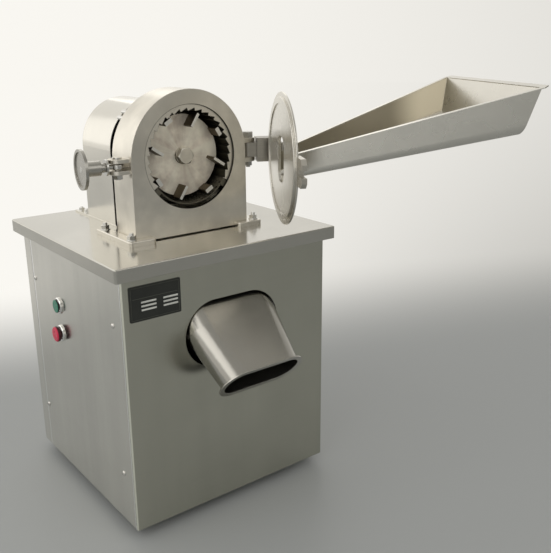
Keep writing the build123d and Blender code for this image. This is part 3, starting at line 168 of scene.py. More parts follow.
def vector_math(tree, operation, *operands):
    """A Vector Math node in the tree; returns its number where it gives one, or its vector."""
    node = add_node(tree, "ShaderNodeVectorMath", {"operation": operation})
    for slot, operand in zip(node.inputs, operands):
        feed(tree, slot, operand)
    return node.outputs["Value" if operation in ("DOT_PRODUCT", "LENGTH") else "Vector"]


def combined(tree, **parts):
    """A vector from its X, Y and Z; the parts that aren't given are 0."""
    return add_node(tree, "ShaderNodeCombineXYZ", **parts).outputs[0]


def ramp(tree, value, low, high, kind="SMOOTHSTEP"):
    """A step from 0 at the low value to 1 at the high one."""
    step = add_node(tree, "ShaderNodeMapRange", {"interpolation_type": kind},
                    Value=value, From_Min=low, From_Max=high)
    return step.outputs["Result"]


def noise(tree, vector, scale, detail, roughness=0.5):
    """Noise from 0 to 1 over a pattern's places."""
    node = add_node(tree, "ShaderNodeTexNoise", Vector=vector, Scale=scale, Detail=detail,
                    Roughness=roughness)
    return node.outputs["Fac"]


def mixed_colour(tree, factor, first, second):
    """A Mix node for colours; each colour is a socket or an RGB triple."""
    node = add_node(tree, "ShaderNodeMix", {"data_type": "RGBA"}, Factor=factor)
    for slot, colour in ((MIX_FIRST, first), (MIX_SECOND, second)):
        linked = isinstance(colour, bpy.types.NodeSocket)
        feed(tree, node.inputs[slot], colour if linked else (*colour, 1.0))
    return node.outputs[MIX_RESULT]


def bumped(tree, height, distance, normal, strength=1.0):
    """The normal, tilted by a height that changes over the surface."""
    node = add_node(tree, "ShaderNodeBump", Strength=strength, Distance=distance, Height=height,
                    Normal=normal)
    return node.outputs["Normal"]


# ------------ shared effects

def grain_group():
    """Fine lines left by a brushing wheel, as a height and as a shade."""
    group, given = new_shader_group(
        "brushed_grain",
        (("Vector", VECTOR, ORIGIN), ("Lines", VECTOR, (40.0, 40.0, 1500.0))),
        ("Height", NUMBER), ("Shade", NUMBER))
    place = add_node(group, "ShaderNodeMapping", Vector=given["Vector"], Scale=given["Lines"])
    lines = noise(group, place.outputs["Vector"], 1.0, 4.0, 0.65)
    return closed(group, Height=lines, Shade=ramp(group, lines, 0.3, 0.7, "LINEAR"))


def cloud_group():
    """Soft uneven patches from handling and grinding, from 0 to 1."""
    group, given = new_shader_group(
        "hand_marks",
        (("Vector", VECTOR, ORIGIN), ("Size", NUMBER, 12.0)),
        ("Marks", NUMBER))
    patches = noise(group, given["Vector"], given["Size"], 3.0, 0.55)
    return closed(group, Marks=ramp(group, patches, 0.30, 0.70))


def edge_highlight_group():
    """Rounded edges: a rounded normal, and a mask that is 1 along the edge, where highlights and
    shadow lines are painted.
    """
    group, given = new_shader_group(
        "broken_edges",
        (("Width", NUMBER, 0.0008),),
        ("Edge", NUMBER), ("Normal", VECTOR))
    rounded = add_node(group, "ShaderNodeBevel", {"samples": 4}, Radius=given["Width"])
    flat = group.nodes.new("ShaderNodeNewGeometry")
    likeness = vector_math(group, "DOT_PRODUCT", rounded.outputs["Normal"], flat.outputs["Normal"])
    return closed(group, Edge=ramp(group, likeness, 0.995, 0.85, "LINEAR"),
                  Normal=rounded.outputs["Normal"])


def turned_group():
    """Lathe marks round an axis along Y: rings, and streaks that run outwards."""
    group, given = new_shader_group(
        "turned_marks",
        (("Vector", VECTOR, ORIGIN), ("Rings", NUMBER, 900.0), ("Streaks", NUMBER, 3.0)),
        ("Ring", NUMBER), ("Streak", NUMBER))
    split = add_node(group, "ShaderNodeSeparateXYZ", Vector=given["Vector"]).outputs
    squares = [times(group, split[axis], split[axis]) for axis in "XZ"]
    radius = add_math(group, "SQRT", add_math(group, "ADD", *squares))
    ring_place = combined(group, X=times(group, radius, given["Rings"]))
    safe = add_math(group, "MAXIMUM", radius, MM)
    around = {axis: times(group, add_math(group, "DIVIDE", split[axis], safe), given["Streaks"])
              for axis in "XZ"}
    streaks = noise(group, combined(group, **around), 1.0, 3.0)
    return closed(group, Ring=noise(group, ring_place, 1.0, 2.0),
                  Streak=ramp(group, streaks, 0.35, 0.65, "LINEAR"))


def facing_group():
    """A mask that is 1 on faces that point along Axis and 0 on the others."""
    group, given = new_shader_group(
        "facing_side",
        (("Axis", VECTOR, OUT_FRONT), ("Least", NUMBER, 0.15), ("Most", NUMBER, 0.65)),
        ("Facing", NUMBER))
    flat = group.nodes.new("ShaderNodeNewGeometry").outputs["True Normal"]
    likeness = vector_math(group, "DOT_PRODUCT", flat, given["Axis"])
    return closed(group, Facing=ramp(group, likeness, given["Least"], given["Most"], "LINEAR"))


def surroundings_group():
    """The colour of the room in a direction: pale towards the window, greyer away from it."""
    group, given = new_shader_group(
        "surroundings",
        (("Direction", VECTOR, OUT_BACK), ("Pale", COLOUR, (0.9, 0.9, 0.9, 1.0)),
         ("Grey", COLOUR, (0.4, 0.4, 0.4, 1.0))),
        ("Color", COLOUR))
    towards = vector_math(group, "DOT_PRODUCT", given["Direction"], WINDOW_SIDE)
    share = ramp(group, towards, -0.8, 1.0)
    return closed(group, Color=mixed_colour(group, share, given["Grey"], given["Pale"]))


GRAIN = grain_group()
CLOUD = cloud_group()
EDGE_HIGHLIGHT = edge_highlight_group()
TURNED = turned_group()
FACING = facing_group()
SURROUNDINGS = surroundings_group()


# ------------ finishes

def new_material(name, metallic, centre=ORIGIN):
    """A material, its tree and shader, and Object coordinates that start at the centre."""
    material = bpy.data.materials.new(name)
    material.use_nodes = True
    tree = material.node_tree
    shader = tree.nodes["Principled BSDF"]
    shader.inputs["Metallic"].default_value = metallic
    source = tree.nodes.new("ShaderNodeTexCoord")
    place = add_node(tree, "ShaderNodeMapping", {"vector_type": "TEXTURE"}, Location=centre,
                     Vector=source.outputs["Object"])
    return material, tree, shader, place.outputs["Vector"]


def dress(tree, shader, tone, rough, normal):
    """Leads the colour, the roughness and the normal to the shader."""
    for label, value in (("Base Color", tone), ("Roughness", rough), ("Normal", normal)):
        tree.links.new(value, shader.inputs[label])


def scaled(colour, factor):
    """The colour, darker or brighter by a factor."""
    return tuple(min(1.0, channel * factor) for channel in colour)


def patched(tree, vector, colour, size, strength):
    """The colour in uneven patches, and their mask."""
    marks = place_group(tree, CLOUD, Vector=vector, Size=size)["Marks"]
    tone = mixed_colour(tree, marks, scaled(colour, 1.0 - strength), scaled(colour, 1.0 + strength))
    return tone, marks


def metal(name, colour, roughness, lines=(30.0, 30.0, 1400.0), grain=0.10, depth=0.00002,
          marks=0.10, mark_size=9.0, edge=0.0008, painted_edge_gain=1.25, bands=None, band_gain=0.10,
          turned=None, streaks=0.25, centre=ORIGIN, facing=None, limits=(0.15, 0.65),
          painted_shade=(0.1, 0.1, 0.1), away_rough=0.1, along=None, far_painted_light=(0.5, 0.5, 0.5),
          anisotropic=0.0, metallic=1.0, wavy=0.0, hem_highlights=(), seam_shadow=None):
    """A worked metal finish: brushed or turned, with bands, patches, and a highlight painted along
    the edges.

    The bands and lines are scales along X, Y and Z. Faces that don't point along facing are
    painted in a shade colour, which changes to a second painted colour along a direction between
    two distances. Each hem highlight is a direction, the distance of its edge and its width: a
    strip painted brighter there. The seam shadow is a radius round the centre, inside which the
    steel is painted in the shadow colour. A gain on the edges under 1 paints a shadow line there
    instead of a highlight.
    """
    material, tree, shader, vector = new_material(name, metallic, centre)
    shader.inputs["Anisotropic"].default_value = anisotropic
    tone, patches = patched(tree, vector, colour, mark_size, marks)
    if bands:
        wide = place_group(tree, GRAIN, Vector=vector, Lines=bands)["Shade"]
        tone = mixed_colour(tree, times(tree, wide, BAND_WEIGHT), tone,
                            scaled(colour, 1.0 - 2.0 * band_gain))
    if turned is None:
        lay = place_group(tree, GRAIN, Vector=vector, Lines=lines)
        height, shade = lay["Height"], lay["Shade"]
        weight, gain = GRAIN_WEIGHT, 1.0 - 2.0 * grain
    else:
        lay = place_group(tree, TURNED, Vector=vector, Rings=turned)
        height, shade = lay["Ring"], lay["Streak"]
        weight, gain = streaks, STREAK_GAIN
    tone = mixed_colour(tree, times(tree, shade, weight), tone, scaled(colour, gain))
    rough = add_math(tree, "ADD", times(tree, patches, min(PATCH_ROUGHNESS, marks)),
                     times(tree, shade, GRAIN_ROUGHNESS * grain))
    rough = add_math(tree, "ADD", rough, roughness - MIDDLE_ROUGHNESS, clamp=True)
    # Faces that don't point along facing are painted in a shade colour, changing to a second
    # painted colour along a direction where one is given: painted shade and painted light.
    if facing:
        side = place_group(tree, FACING, Axis=facing, Least=limits[0], Most=limits[1])["Facing"]
        if along:
            reach = vector_math(tree, "DOT_PRODUCT", vector, along[0])
            painted_shade = mixed_colour(tree, ramp(tree, reach, *along[1:]), painted_shade, far_painted_light)
        tone = mixed_colour(tree, side, painted_shade, tone)
        turned_away = add_math(tree, "SUBTRACT", 1.0, side)
        rough = add_math(tree, "ADD", rough, times(tree, turned_away, away_rough), clamp=True)
    # Edges are painted towards the colour times the gain: a highlight where the gain is over 1, a
    # shadow line where it is under 1.
    painted_edges = place_group(tree, EDGE_HIGHLIGHT, Width=edge)
    tone = mixed_colour(tree, painted_edges["Edge"], tone, scaled(colour, painted_edge_gain))
    # Each hem highlight is a strip near an edge that is painted brighter, as a highlight.
    for axis, reach, width in hem_highlights:
        highlight_strip = ramp(tree, vector_math(tree, "DOT_PRODUCT", vector, axis), reach - width,
                     reach - HEM_HIGHLIGHT_START * width)
        tone = mixed_colour(tree, highlight_strip, tone, scaled(colour, HEM_HIGHLIGHT_GAIN))
    # Inside the seam radius the steel is painted in the shadow colour, which fades out over the
    # seam width: a painted shadow round a seated piece.
    if seam_shadow:
        level = vector_math(tree, "MULTIPLY", vector, (1.0, 0.0, 1.0))
        outside = ramp(tree, vector_math(tree, "LENGTH", level), seam_shadow, seam_shadow + SEAM_SHADOW_WIDTH)
        tone = mixed_colour(tree, outside, SHADOW, tone)
    normal = painted_edges["Normal"]
    if wavy:
        normal = bumped(tree, patches, wavy, normal)
    dress(tree, shader, tone, rough, bumped(tree, height, depth, normal, BUMP_STRENGTH))
    return material


def coated(name, colour, roughness, depth=0.00003, facing=None, painted_shade=(0.01, 0.01, 0.01), coat=0.0):
    """Paint, plastic or rubber: a fine pebbled skin, uneven patches, a painted highlight along the
    edges, and, where facing is given, painted shade on the faces that don't point along it.
    """
    material, tree, shader, vector = new_material(name, 0.0)
    shader.inputs["Coat Weight"].default_value = coat
    tone, patches = patched(tree, vector, colour, SKIN_PATCH_SIZE, SKIN_PATCHES)
    painted_edges = place_group(tree, EDGE_HIGHLIGHT, Width=SKIN_EDGE)
    tone = mixed_colour(tree, painted_edges["Edge"], tone, scaled(colour, SKIN_EDGE_HIGHLIGHT_GAIN))
    # Faces that don't point along facing are painted in a shade colour: painted shade.
    if facing:
        side = place_group(tree, FACING, Axis=facing)["Facing"]
        tone = mixed_colour(tree, side, painted_shade, tone)
    rough = add_math(tree, "ADD", times(tree, patches, SKIN_PATCH_ROUGHNESS),
                     roughness - SKIN_PATCH_ROUGHNESS / 2, clamp=True)
    pebbles = noise(tree, vector, SKIN_PEBBLES, 2.0)
    dress(tree, shader, tone, rough,
          bumped(tree, pebbles, depth, painted_edges["Normal"], SKIN_BUMP_STRENGTH))
    return material


def finish_nodes(material, *names):
    """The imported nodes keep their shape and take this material."""
    for name in names:
        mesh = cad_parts[name].data
        mesh.materials.clear()
        mesh.materials.append(material)


# ------------ shape helpers

def made(tree, kind, **inputs):
    """What a Geometry Nodes node in the tree makes."""
    return add_node(tree, "GeometryNode" + kind, **inputs).outputs[0]


def raised(tree, geometry, height):
    """The geometry, moved up by a height, a socket or a number."""
    return made(tree, "Transform", Geometry=geometry, Translation=combined(tree, Z=height))


def joined(tree, *parts):
    """One geometry from several."""
    join = tree.nodes.new("GeometryNodeJoinGeometry")
    for part in parts:
        tree.links.new(part, join.inputs[0])
    return join.outputs[0]


def boolean(tree, operation, solids, start=None):
    """What the closed solids have in common, or what they leave of the first one."""
    node = add_node(tree, "GeometryNodeMeshBoolean", {"operation": operation, "solver": "EXACT"})
    if start:
        tree.links.new(start, node.inputs["Mesh 1"])
    for solid in solids:
        tree.links.new(solid, node.inputs["Mesh 2"])
    return node.outputs["Mesh"]


def block(tree, x, y, z):
    """A box about the origin; each side is a socket or a number."""
    return made(tree, "MeshCube", Size=combined(tree, X=x, Y=y, Z=z))


def drum(tree, sides, bottom, top, height):
    """A cylinder, cone or prism that stands on the origin."""
    return made(tree, "MeshCone", Vertices=sides, Radius_Bottom=bottom, Radius_Top=top,
                Depth=height)


def solid_centres(name):
    """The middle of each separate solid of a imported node, in millimetres, left to right."""
    build = bmesh.new()
    build.from_mesh(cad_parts[name].data)
    bmesh.ops.remove_doubles(build, verts=build.verts, dist=0.01 * MM)
    left = set(build.verts)
    centres = []
    while left:
        island = {left.pop()}
        waiting = list(island)
        while waiting:
            vert = waiting.pop()
            reached = {link.other_vert(vert) for link in vert.link_edges} - island
            island |= reached
            waiting.extend(reached)
        left -= island
        spans = [[vert.co[axis] / MM for vert in island] for axis in range(3)]
        centres.append(tuple((min(span) + max(span)) / 2 for span in spans))
    build.free()
    return sorted(centres)


def on_level(name, height):
    """The middle of each solid of a node, brought to one height."""
    return [(place[0], place[1], height) for place in solid_centres(name)]


def drop_empty_slots(mesh):
    """Keeps only the material slots that hold a material."""
    finishes = list(mesh.materials)
    kept = [finish for finish in finishes if finish]
    chosen = [kept.index(finishes[face.material_index]) for face in mesh.polygons]
    mesh.materials.clear()
    for finish in kept:
        mesh.materials.append(finish)
    for face, index in zip(mesh.polygons, chosen):
        face.material_index = index


def run_tree(tree, name, places, body, slot, replaced=(), **values):
    """The tree's result on points in millimetres, as a plain mesh that rides on a body."""
    points = bpy.data.meshes.new(name + "_points")
    points.from_pydata([[MM * value for value in place] for place in places], [], [])
    holder = bpy.data.objects.new(name + "_points", points)
    bpy.context.scene.collection.objects.link(holder)
    modifier = holder.modifiers.new("build", "NODES")
    modifier.node_group = tree
    for item in tree.interface.items_tree:
        label = item.name.replace(" ", "_")
        if item.in_out == "INPUT" and label in values:
            modifier[item.identifier] = values[label]
    evaluated = holder.evaluated_get(bpy.context.evaluated_depsgraph_get())
    mesh = bpy.data.meshes.new_from_object(evaluated)
    holder.modifiers.remove(modifier)
    bpy.data.objects.remove(holder)
    drop_empty_slots(mesh)
    piece = bpy.data.objects.new(name, mesh)
    bpy.context.scene.collection.objects.link(piece)
    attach(piece, body)
    if replaced:
        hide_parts(*replaced)
    return piece


# ------------ repeated shapes

# Proportions of the nuts, studs and screws, and of the plate's rule to its border.
CHAMFER_FLAT, CHAMFER_SLOPE, CHAMFER_DEPTH = 0.84, 2.6, 1.5
WASHER_TAPER, STUD_TAPER, RECESS_REACH, RULE_SHARE = 0.97, 0.85, 1.1, 0.93

PLACING = (
    ("Tilt", VECTOR, ORIGIN),
    ("Turn", NUMBER, 0.0),
    ("Random Turn", NUMBER, 0.0),
    ("Seed", "NodeSocketInt", 4),
    ("Finish", "NodeSocketMaterial", None),
)


def new_shape_tree(name, *inputs):
    """An empty Geometry Nodes tree that takes points, the inputs and how the shapes stand."""
    geometry = "NodeSocketGeometry"
    return new_tree(name, "GeometryNodeTree", (("Geometry", geometry, None), *inputs, *PLACING),
                    (("Geometry", geometry),))


def placed_on_points(tree, given, shape):
    """Sets the shape on every point, tilted and turned at random, and closes the tree."""
    spin = add_node(tree, "FunctionNodeRandomValue", {"data_type": "FLOAT"}, Seed=given["Seed"])
    least, most = [slot for slot in spin.inputs if slot.type == "VALUE"][:2]
    feed(tree, least, 0.0)
    feed(tree, most, given["Random Turn"])
    angle = next(slot for slot in spin.outputs if slot.type == "VALUE")
    turn = combined(tree, Z=add_math(tree, "ADD", angle, given["Turn"]))
    spread = made(tree, "InstanceOnPoints", Points=given["Geometry"], Instance=shape,
                  Rotation=given["Tilt"])
    spread = made(tree, "RotateInstances", Instances=spread, Rotation=turn)
    real = made(tree, "RealizeInstances", Geometry=spread)
    return closed(tree, Geometry=made(tree, "SetMaterial", Geometry=real, Material=given["Finish"]))


def hex_nut_tree():
    """A washer, a chamfered hexagon and the end of a stud, on each point."""
    tree, given = new_shape_tree(
        "hex_nuts",
        ("Corner Radius", NUMBER, 7.5 * MM),
        ("Nut Height", NUMBER, 6.5 * MM),
        ("Washer Radius", NUMBER, 8.5 * MM),
        ("Washer Height", NUMBER, 1.5 * MM),
        ("Stud Radius", NUMBER, 4.0 * MM),
        ("Stud Height", NUMBER, 4.0 * MM),
    )
    corner, height = given["Corner Radius"], given["Nut Height"]
    prism = drum(tree, 6, corner, corner, height)
    # A wide cone takes the corners off the top, a little inside the flats.
    flat = times(tree, corner, CHAMFER_FLAT)
    foot = add_math(tree, "ADD", flat, times(tree, height, CHAMFER_SLOPE))
    cone = drum(tree, 48, foot, flat, times(tree, height, CHAMFER_DEPTH))
    cone = raised(tree, cone, times(tree, height, -0.5))
    nut = raised(tree, boolean(tree, "INTERSECT", (prism, cone)), given["Washer Height"])
    washer = drum(tree, 40, given["Washer Radius"],
                  times(tree, given["Washer Radius"], WASHER_TAPER), given["Washer Height"])
    stud = drum(tree, 24, given["Stud Radius"],
                times(tree, given["Stud Radius"], STUD_TAPER), given["Stud Height"])
    top = add_math(tree, "ADD", given["Washer Height"], height)
    shown = add_node(tree, "GeometryNodeSwitch", {"input_type": "GEOMETRY"},
                     Switch=add_math(tree, "GREATER_THAN", given["Stud Height"], 0.0),
                     **{"True": raised(tree, stud, top)})
    return placed_on_points(tree, given, joined(tree, washer, nut, shown.outputs[0]))


def dome_screw_tree():
    """A domed head with a cross recess and its shank, on each point."""
    tree, given = new_shape_tree(
        "dome_screws",
        ("Head Radius", NUMBER, 4.5 * MM),
        ("Head Height", NUMBER, 2.4 * MM),
        ("Shank Radius", NUMBER, 2.0 * MM),
        ("Shank Length", NUMBER, 10.0 * MM),
        ("Recess Width", NUMBER, 0.9 * MM),
    )
    radius, height, recess = given["Head Radius"], given["Head Height"], given["Recess Width"]
    ball = made(tree, "MeshUVSphere", Segments=32, Rings=20, Radius=radius)
    squash = combined(tree, X=1.0, Y=1.0, Z=add_math(tree, "DIVIDE", height, radius))
    ball = made(tree, "Transform", Geometry=ball, Scale=squash)
    wide = times(tree, radius, 2.0)
    above = drum(tree, 32, wide, wide, times(tree, height, 2.0))
    dome = boolean(tree, "INTERSECT", (ball, above))
    arm = times(tree, radius, RECESS_REACH)
    cross = [raised(tree, block(tree, x, y, height), height)
             for x, y in ((arm, recess), (recess, arm))]
    head = boolean(tree, "DIFFERENCE", cross, dome)
    shank = drum(tree, 20, given["Shank Radius"], given["Shank Radius"], given["Shank Length"])
    sunk = raised(tree, shank, times(tree, given["Shank Length"], -1.0))
    return placed_on_points(tree, given, joined(tree, head, sunk))


def plate_field_tree():
    """Blank fields in columns and rows, a rule above them and a thin border, proud of a plate."""
    tree, given = new_shape_tree(
        "plate_fields",
        ("Columns", "NodeSocketInt", 2),
        ("Rows", "NodeSocketInt", 3),
        ("Column Pitch", NUMBER, 38.4 * MM),
        ("Row Pitch", NUMBER, 6.3 * MM),
        ("Field Length", NUMBER, 26.0 * MM),
        ("Field Height", NUMBER, 2.9 * MM),
        ("Fields Place", VECTOR, (7.5 * MM, -5.1 * MM, 0.0)),
        ("Border Length", NUMBER, 84.0 * MM),
        ("Border Height", NUMBER, 51.0 * MM),
        ("Rule Place", VECTOR, (0.0, 8.0 * MM, 0.0)),
        ("Line Width", NUMBER, 0.7 * MM),
        ("Relief", NUMBER, 0.15 * MM),
        ("Field Finish", "NodeSocketMaterial", None),
    )
    sides = [times(tree, given[pitch], add_math(tree, "SUBTRACT", given[count], 1.0))
             for pitch, count in (("Column Pitch", "Columns"), ("Row Pitch", "Rows"))]
    grid = made(tree, "MeshGrid", Size_X=sides[0], Size_Y=sides[1],
                Vertices_X=given["Columns"], Vertices_Y=given["Rows"])
    field = block(tree, given["Field Length"], given["Field Height"], given["Relief"])
    fields = made(tree, "InstanceOnPoints", Points=grid, Instance=field)
    fields = made(tree, "RealizeInstances", Geometry=fields)
    fields = made(tree, "SetMaterial", Geometry=fields, Material=given["Field Finish"])
    fields = made(tree, "Transform", Geometry=fields, Translation=given["Fields Place"])
    outline = made(tree, "CurvePrimitiveQuadrilateral", Width=given["Border Length"],
                   Height=given["Border Height"])
    section = made(tree, "CurvePrimitiveQuadrilateral", Width=given["Line Width"],
                   Height=given["Relief"])
    border = made(tree, "CurveToMesh", Curve=outline, Profile_Curve=section)
    rule = block(tree, times(tree, given["Border Length"], RULE_SHARE),
                 given["Line Width"], given["Relief"])
    rule = made(tree, "Transform", Geometry=rule, Translation=given["Rule Place"])
    lines = made(tree, "SetMaterial", Geometry=joined(tree, border, rule),
                 Material=given["Finish"])
    upright = made(tree, "InstanceOnPoints", Points=given["Geometry"],
                   Instance=joined(tree, lines, fields), Rotation=given["Tilt"])
    return closed(tree, Geometry=made(tree, "RealizeInstances", Geometry=upright))


# ------------ settings

COLOUR_RANGE = {"subtype": "COLOR", "size": 3, "min": 0.0, "max": 1.0}
LENGTH_RANGE = {"subtype": "DISTANCE", "unit": "LENGTH", "min": 0.0, "precision": 4}


class MillSteelSettings(bpy.types.PropertyGroup):
    """Colours of the steel"""

    sheet: bpy.props.FloatVectorProperty(
        name="Cabinet sheet", description="Colour of the brushed cabinet sheet",
        default=(0.54, 0.535, 0.46), **COLOUR_RANGE)
    side: bpy.props.FloatVectorProperty(
        name="Side sheet", description="Colour of the side and back panels",
        default=(0.76, 0.745, 0.695), **COLOUR_RANGE)
    worktop: bpy.props.FloatVectorProperty(
        name="Worktop", description="Colour of the polished worktop",
        default=(0.56, 0.545, 0.50), **COLOUR_RANGE)
    head: bpy.props.FloatVectorProperty(
        name="Mill head", description="Colour of the ground mill housing",
        default=(0.76, 0.725, 0.65), **COLOUR_RANGE)
    polished: bpy.props.FloatVectorProperty(
        name="Polished", description="Colour of the door, hopper, guard and duct",
        default=(0.64, 0.62, 0.57), **COLOUR_RANGE)
    plated: bpy.props.FloatVectorProperty(
        name="Plated", description="Colour of bolts, nuts and the latch",
        default=(0.70, 0.69, 0.66), **COLOUR_RANGE)


class MillSizeSettings(bpy.types.PropertyGroup):
    """Sizes of the small pieces that are made here"""

    foot_nut: bpy.props.FloatProperty(
        name="Foot nuts", description="Radius over the corners of the nuts on the foot plates",
        default=7.5 * MM, **LENGTH_RANGE)
    guard_nut: bpy.props.FloatProperty(
        name="Guard nuts", description="Radius over the corners of the nuts on the guard's base",
        default=5.7 * MM, **LENGTH_RANGE)
    rotor_bolt: bpy.props.FloatProperty(
        name="Rotor bolt", description="Radius over the corners of the rotor bolt's head",
        default=15.0 * MM, **LENGTH_RANGE)
    screw_head: bpy.props.FloatProperty(
        name="Panel screws", description="Radius of the domed heads of the panel screws",
        default=4.5 * MM, **LENGTH_RANGE)
    field_length: bpy.props.FloatProperty(
        name="Plate fields", description="Length of the blank fields on the name plate",
        default=26.0 * MM, **LENGTH_RANGE)


class MillStageSettings(bpy.types.PropertyGroup):
    """The floor, the light and the camera"""

    floor: bpy.props.FloatVectorProperty(
        name="Floor", description="Colour of the floor",
        default=(0.42, 0.435, 0.43), **COLOUR_RANGE)
    pale: bpy.props.FloatVectorProperty(
        name="Pale side", description="Colour of the surroundings towards the window",
        default=(0.96, 0.94, 0.89), **COLOUR_RANGE)
    grey: bpy.props.FloatVectorProperty(
        name="Grey side", description="Colour of the surroundings away from the window",
        default=(0.34, 0.335, 0.31), **COLOUR_RANGE)
    daylight: bpy.props.FloatProperty(
        name="Daylight", description="Strength of the even light from all round",
        default=0.50, min=0.0, max=2.0)
    lens: bpy.props.FloatProperty(
        name="Lens", description="Focal length of the camera in millimetres",
        default=48.80, min=10.0, max=200.0)


# ------------ pieces

# The lay of the cabinet's panels, whose lines are too fine to show one by one.
PANEL_LAY = {"lines": (12.0, 12.0, 320.0), "grain": 0.0, "depth": 0.0000002, "edge": 0.0013}
EVEN_LINES = (200.0, 200.0, 200.0)

TO_FRONT = (math.radians(90.0), 0.0, 0.0)
TO_LEFT = (0.0, math.radians(-90.0), 0.0)
HEX_TURN = math.radians(60.0)
CROSS_TURN = math.radians(90.0)


class MILL_OT_cabinet(bpy.types.Operator):
    """Finish the cabinet panels, frame and feet"""

    bl_idname = "mill.cabinet"
    bl_label = "Cabinet"

    def execute(self, context):
        steel = context.scene.mill_steel
        # The front panel's left fold and the access panel's front and back edges are painted
        # brighter as a highlight.
        front_hem_highlight = (OUT_LEFT, -FRONT_LOW.x, 0.0016)
        access_hem_highlights = ((OUT_FRONT, -ACCESS_LOW.y, 0.0028), (OUT_BACK, ACCESS_HIGH.y, 0.0050))
        front = metal("front_sheet", steel.sheet, 0.27, marks=0.05, bands=(16.0, 16.0, 0.8),
                      band_gain=0.08, anisotropic=0.5, hem_highlights=(front_hem_highlight,), **PANEL_LAY)
        side = metal("side_sheet", steel.side, 0.22, marks=0.02, bands=(24.0, 24.0, 1.2),
                     band_gain=0.06, anisotropic=0.25, **PANEL_LAY)
        access = metal("access_sheet", steel.side, 0.22, marks=0.04, bands=(24.0, 24.0, 1.0),
                       band_gain=0.10, anisotropic=0.25, hem_highlights=access_hem_highlights, **PANEL_LAY)
        inner = metal("inner_sheet", scaled(steel.sheet, 0.8), 0.45, marks=0.08)
        finish_nodes(front, "front_panel")
        finish_nodes(access, "access_panel_left")
        finish_nodes(side, "side_panel_right", "back_panel")
        finish_nodes(inner, "frame_posts", "base_tray", "foot_bushes")
        finish_nodes(coated("foot_rubber", (0.03, 0.03, 0.03), 0.75), "feet")
        return {"FINISHED"}


class MILL_OT_worktop(bpy.types.Operator):
    """Finish the worktop"""

    bl_idname = "mill.worktop"
    bl_label = "Worktop"

    def execute(self, context):
        # The worktop's edges are painted brighter as a highlight.
        top = metal("worktop_sheet", context.scene.mill_steel.worktop, 0.20,
                    lines=(15.0, 900.0, 900.0), grain=0.03, depth=0.000008, marks=0.03,
                    anisotropic=0.3, edge=0.0014, painted_edge_gain=1.6)
        finish_nodes(top, "worktop")
        return {"FINISHED"}


class MILL_OT_controls(bpy.types.Operator):
    """Finish the name plate and the push buttons, and make the plate's blank fields"""

    bl_idname = "mill.controls"
    bl_label = "Controls"

    def execute(self, context):
        finish_nodes(coated("plate_black", (0.020, 0.022, 0.018), 0.35), "nameplate")
        finish_nodes(metal("bezel_chrome", (0.86, 0.86, 0.84), 0.14, marks=0.03), "button_bezels")
        # The caps' faces that don't point left are painted dark, near black on the green one and
        # dark red on the red one: painted shade on their sides.
        finish_nodes(coated("button_green", (0.035, 0.25, 0.155), 0.3, facing=OUT_LEFT),
                     "start_button")
        finish_nodes(coated("button_red", (0.72, 0.025, 0.085), 0.3, facing=OUT_LEFT,
                            painted_shade=(0.05, 0.004, 0.008)), "stop_button")
        finish_nodes(coated("black_moulding", (0.02, 0.02, 0.02), 0.5), "button_locknuts",
                     "contact_carrier")
        centre = (PLATE_LOW + PLATE_HIGH) / 2
        place = (centre.x / MM, PLATE_LOW.y / MM, centre.z / MM)
        fields = coated("plate_fields", (0.64, 0.65, 0.60), 0.5, depth=0.00001)
        lines = coated("plate_lines", (0.085, 0.088, 0.070), 0.5, depth=0.00001)
        run_tree(plate_field_tree(), "nameplate_fields", [place], "base", "plate_black",
                 Tilt=TO_FRONT, Finish=lines, Field_Finish=fields,
                 Field_Length=context.scene.mill_sizes.field_length)
        return {"FINISHED"}


class MILL_OT_fasteners(bpy.types.Operator):
    """Make the panel screws and the nuts, and finish the other screws and bolts"""

    bl_idname = "mill.fasteners"
    bl_label = "Fasteners"

    def execute(self, context):
        steel, sizes = context.scene.mill_steel, context.scene.mill_sizes
        plated = metal("plated_bolts", steel.plated, 0.20, marks=0.08, edge=0.0004)
        dark = metal("black_screws", (0.10, 0.10, 0.10), 0.45, marks=0.1, edge=0.0004)
        hinge = metal("hinge_steel", scaled(steel.plated, 0.62), 0.28, marks=0.10, edge=0.0004)
        finish_nodes(plated, "motor_bolts", "back_studs", "hopper_screws", "clevis_pin",
                     "clevis_nut")
        finish_nodes(hinge, "hinge_bolt", "hinge_nut")
        finish_nodes(dark, "flange_screws", "arm_screws")
        nuts = hex_nut_tree()
        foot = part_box("head_bolts")[0].z / MM
        run_tree(nuts, "head_nuts", on_level("head_bolts", foot), "base", "bright_fastener",
                 ("head_bolts",), Corner_Radius=sizes.foot_nut, Random_Turn=HEX_TURN,
                 Finish=plated)
        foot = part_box("guard_bolts")[0].z / MM
        run_tree(nuts, "guard_nuts", on_level("guard_bolts", foot), "base", "bright_fastener",
                 ("guard_bolts",), Corner_Radius=sizes.guard_nut, Nut_Height=4.4 * MM,
                 Washer_Radius=6.4 * MM, Washer_Height=0.8 * MM, Stud_Radius=3.0 * MM,
                 Stud_Height=1.6 * MM, Random_Turn=HEX_TURN, Seed=9, Finish=plated)
        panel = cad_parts["access_panel_left"].data
        surface = min(vert.co.x for vert in panel.vertices) / MM
        places = [(surface, place[1], place[2]) for place in solid_centres("panel_screws")]
        run_tree(dome_screw_tree(), "panel_screw_heads", places, "base", "bright_fastener",
                 ("panel_screws",), Head_Radius=sizes.screw_head, Tilt=TO_LEFT,
                 Random_Turn=CROSS_TURN, Finish=plated)
        return {"FINISHED"}


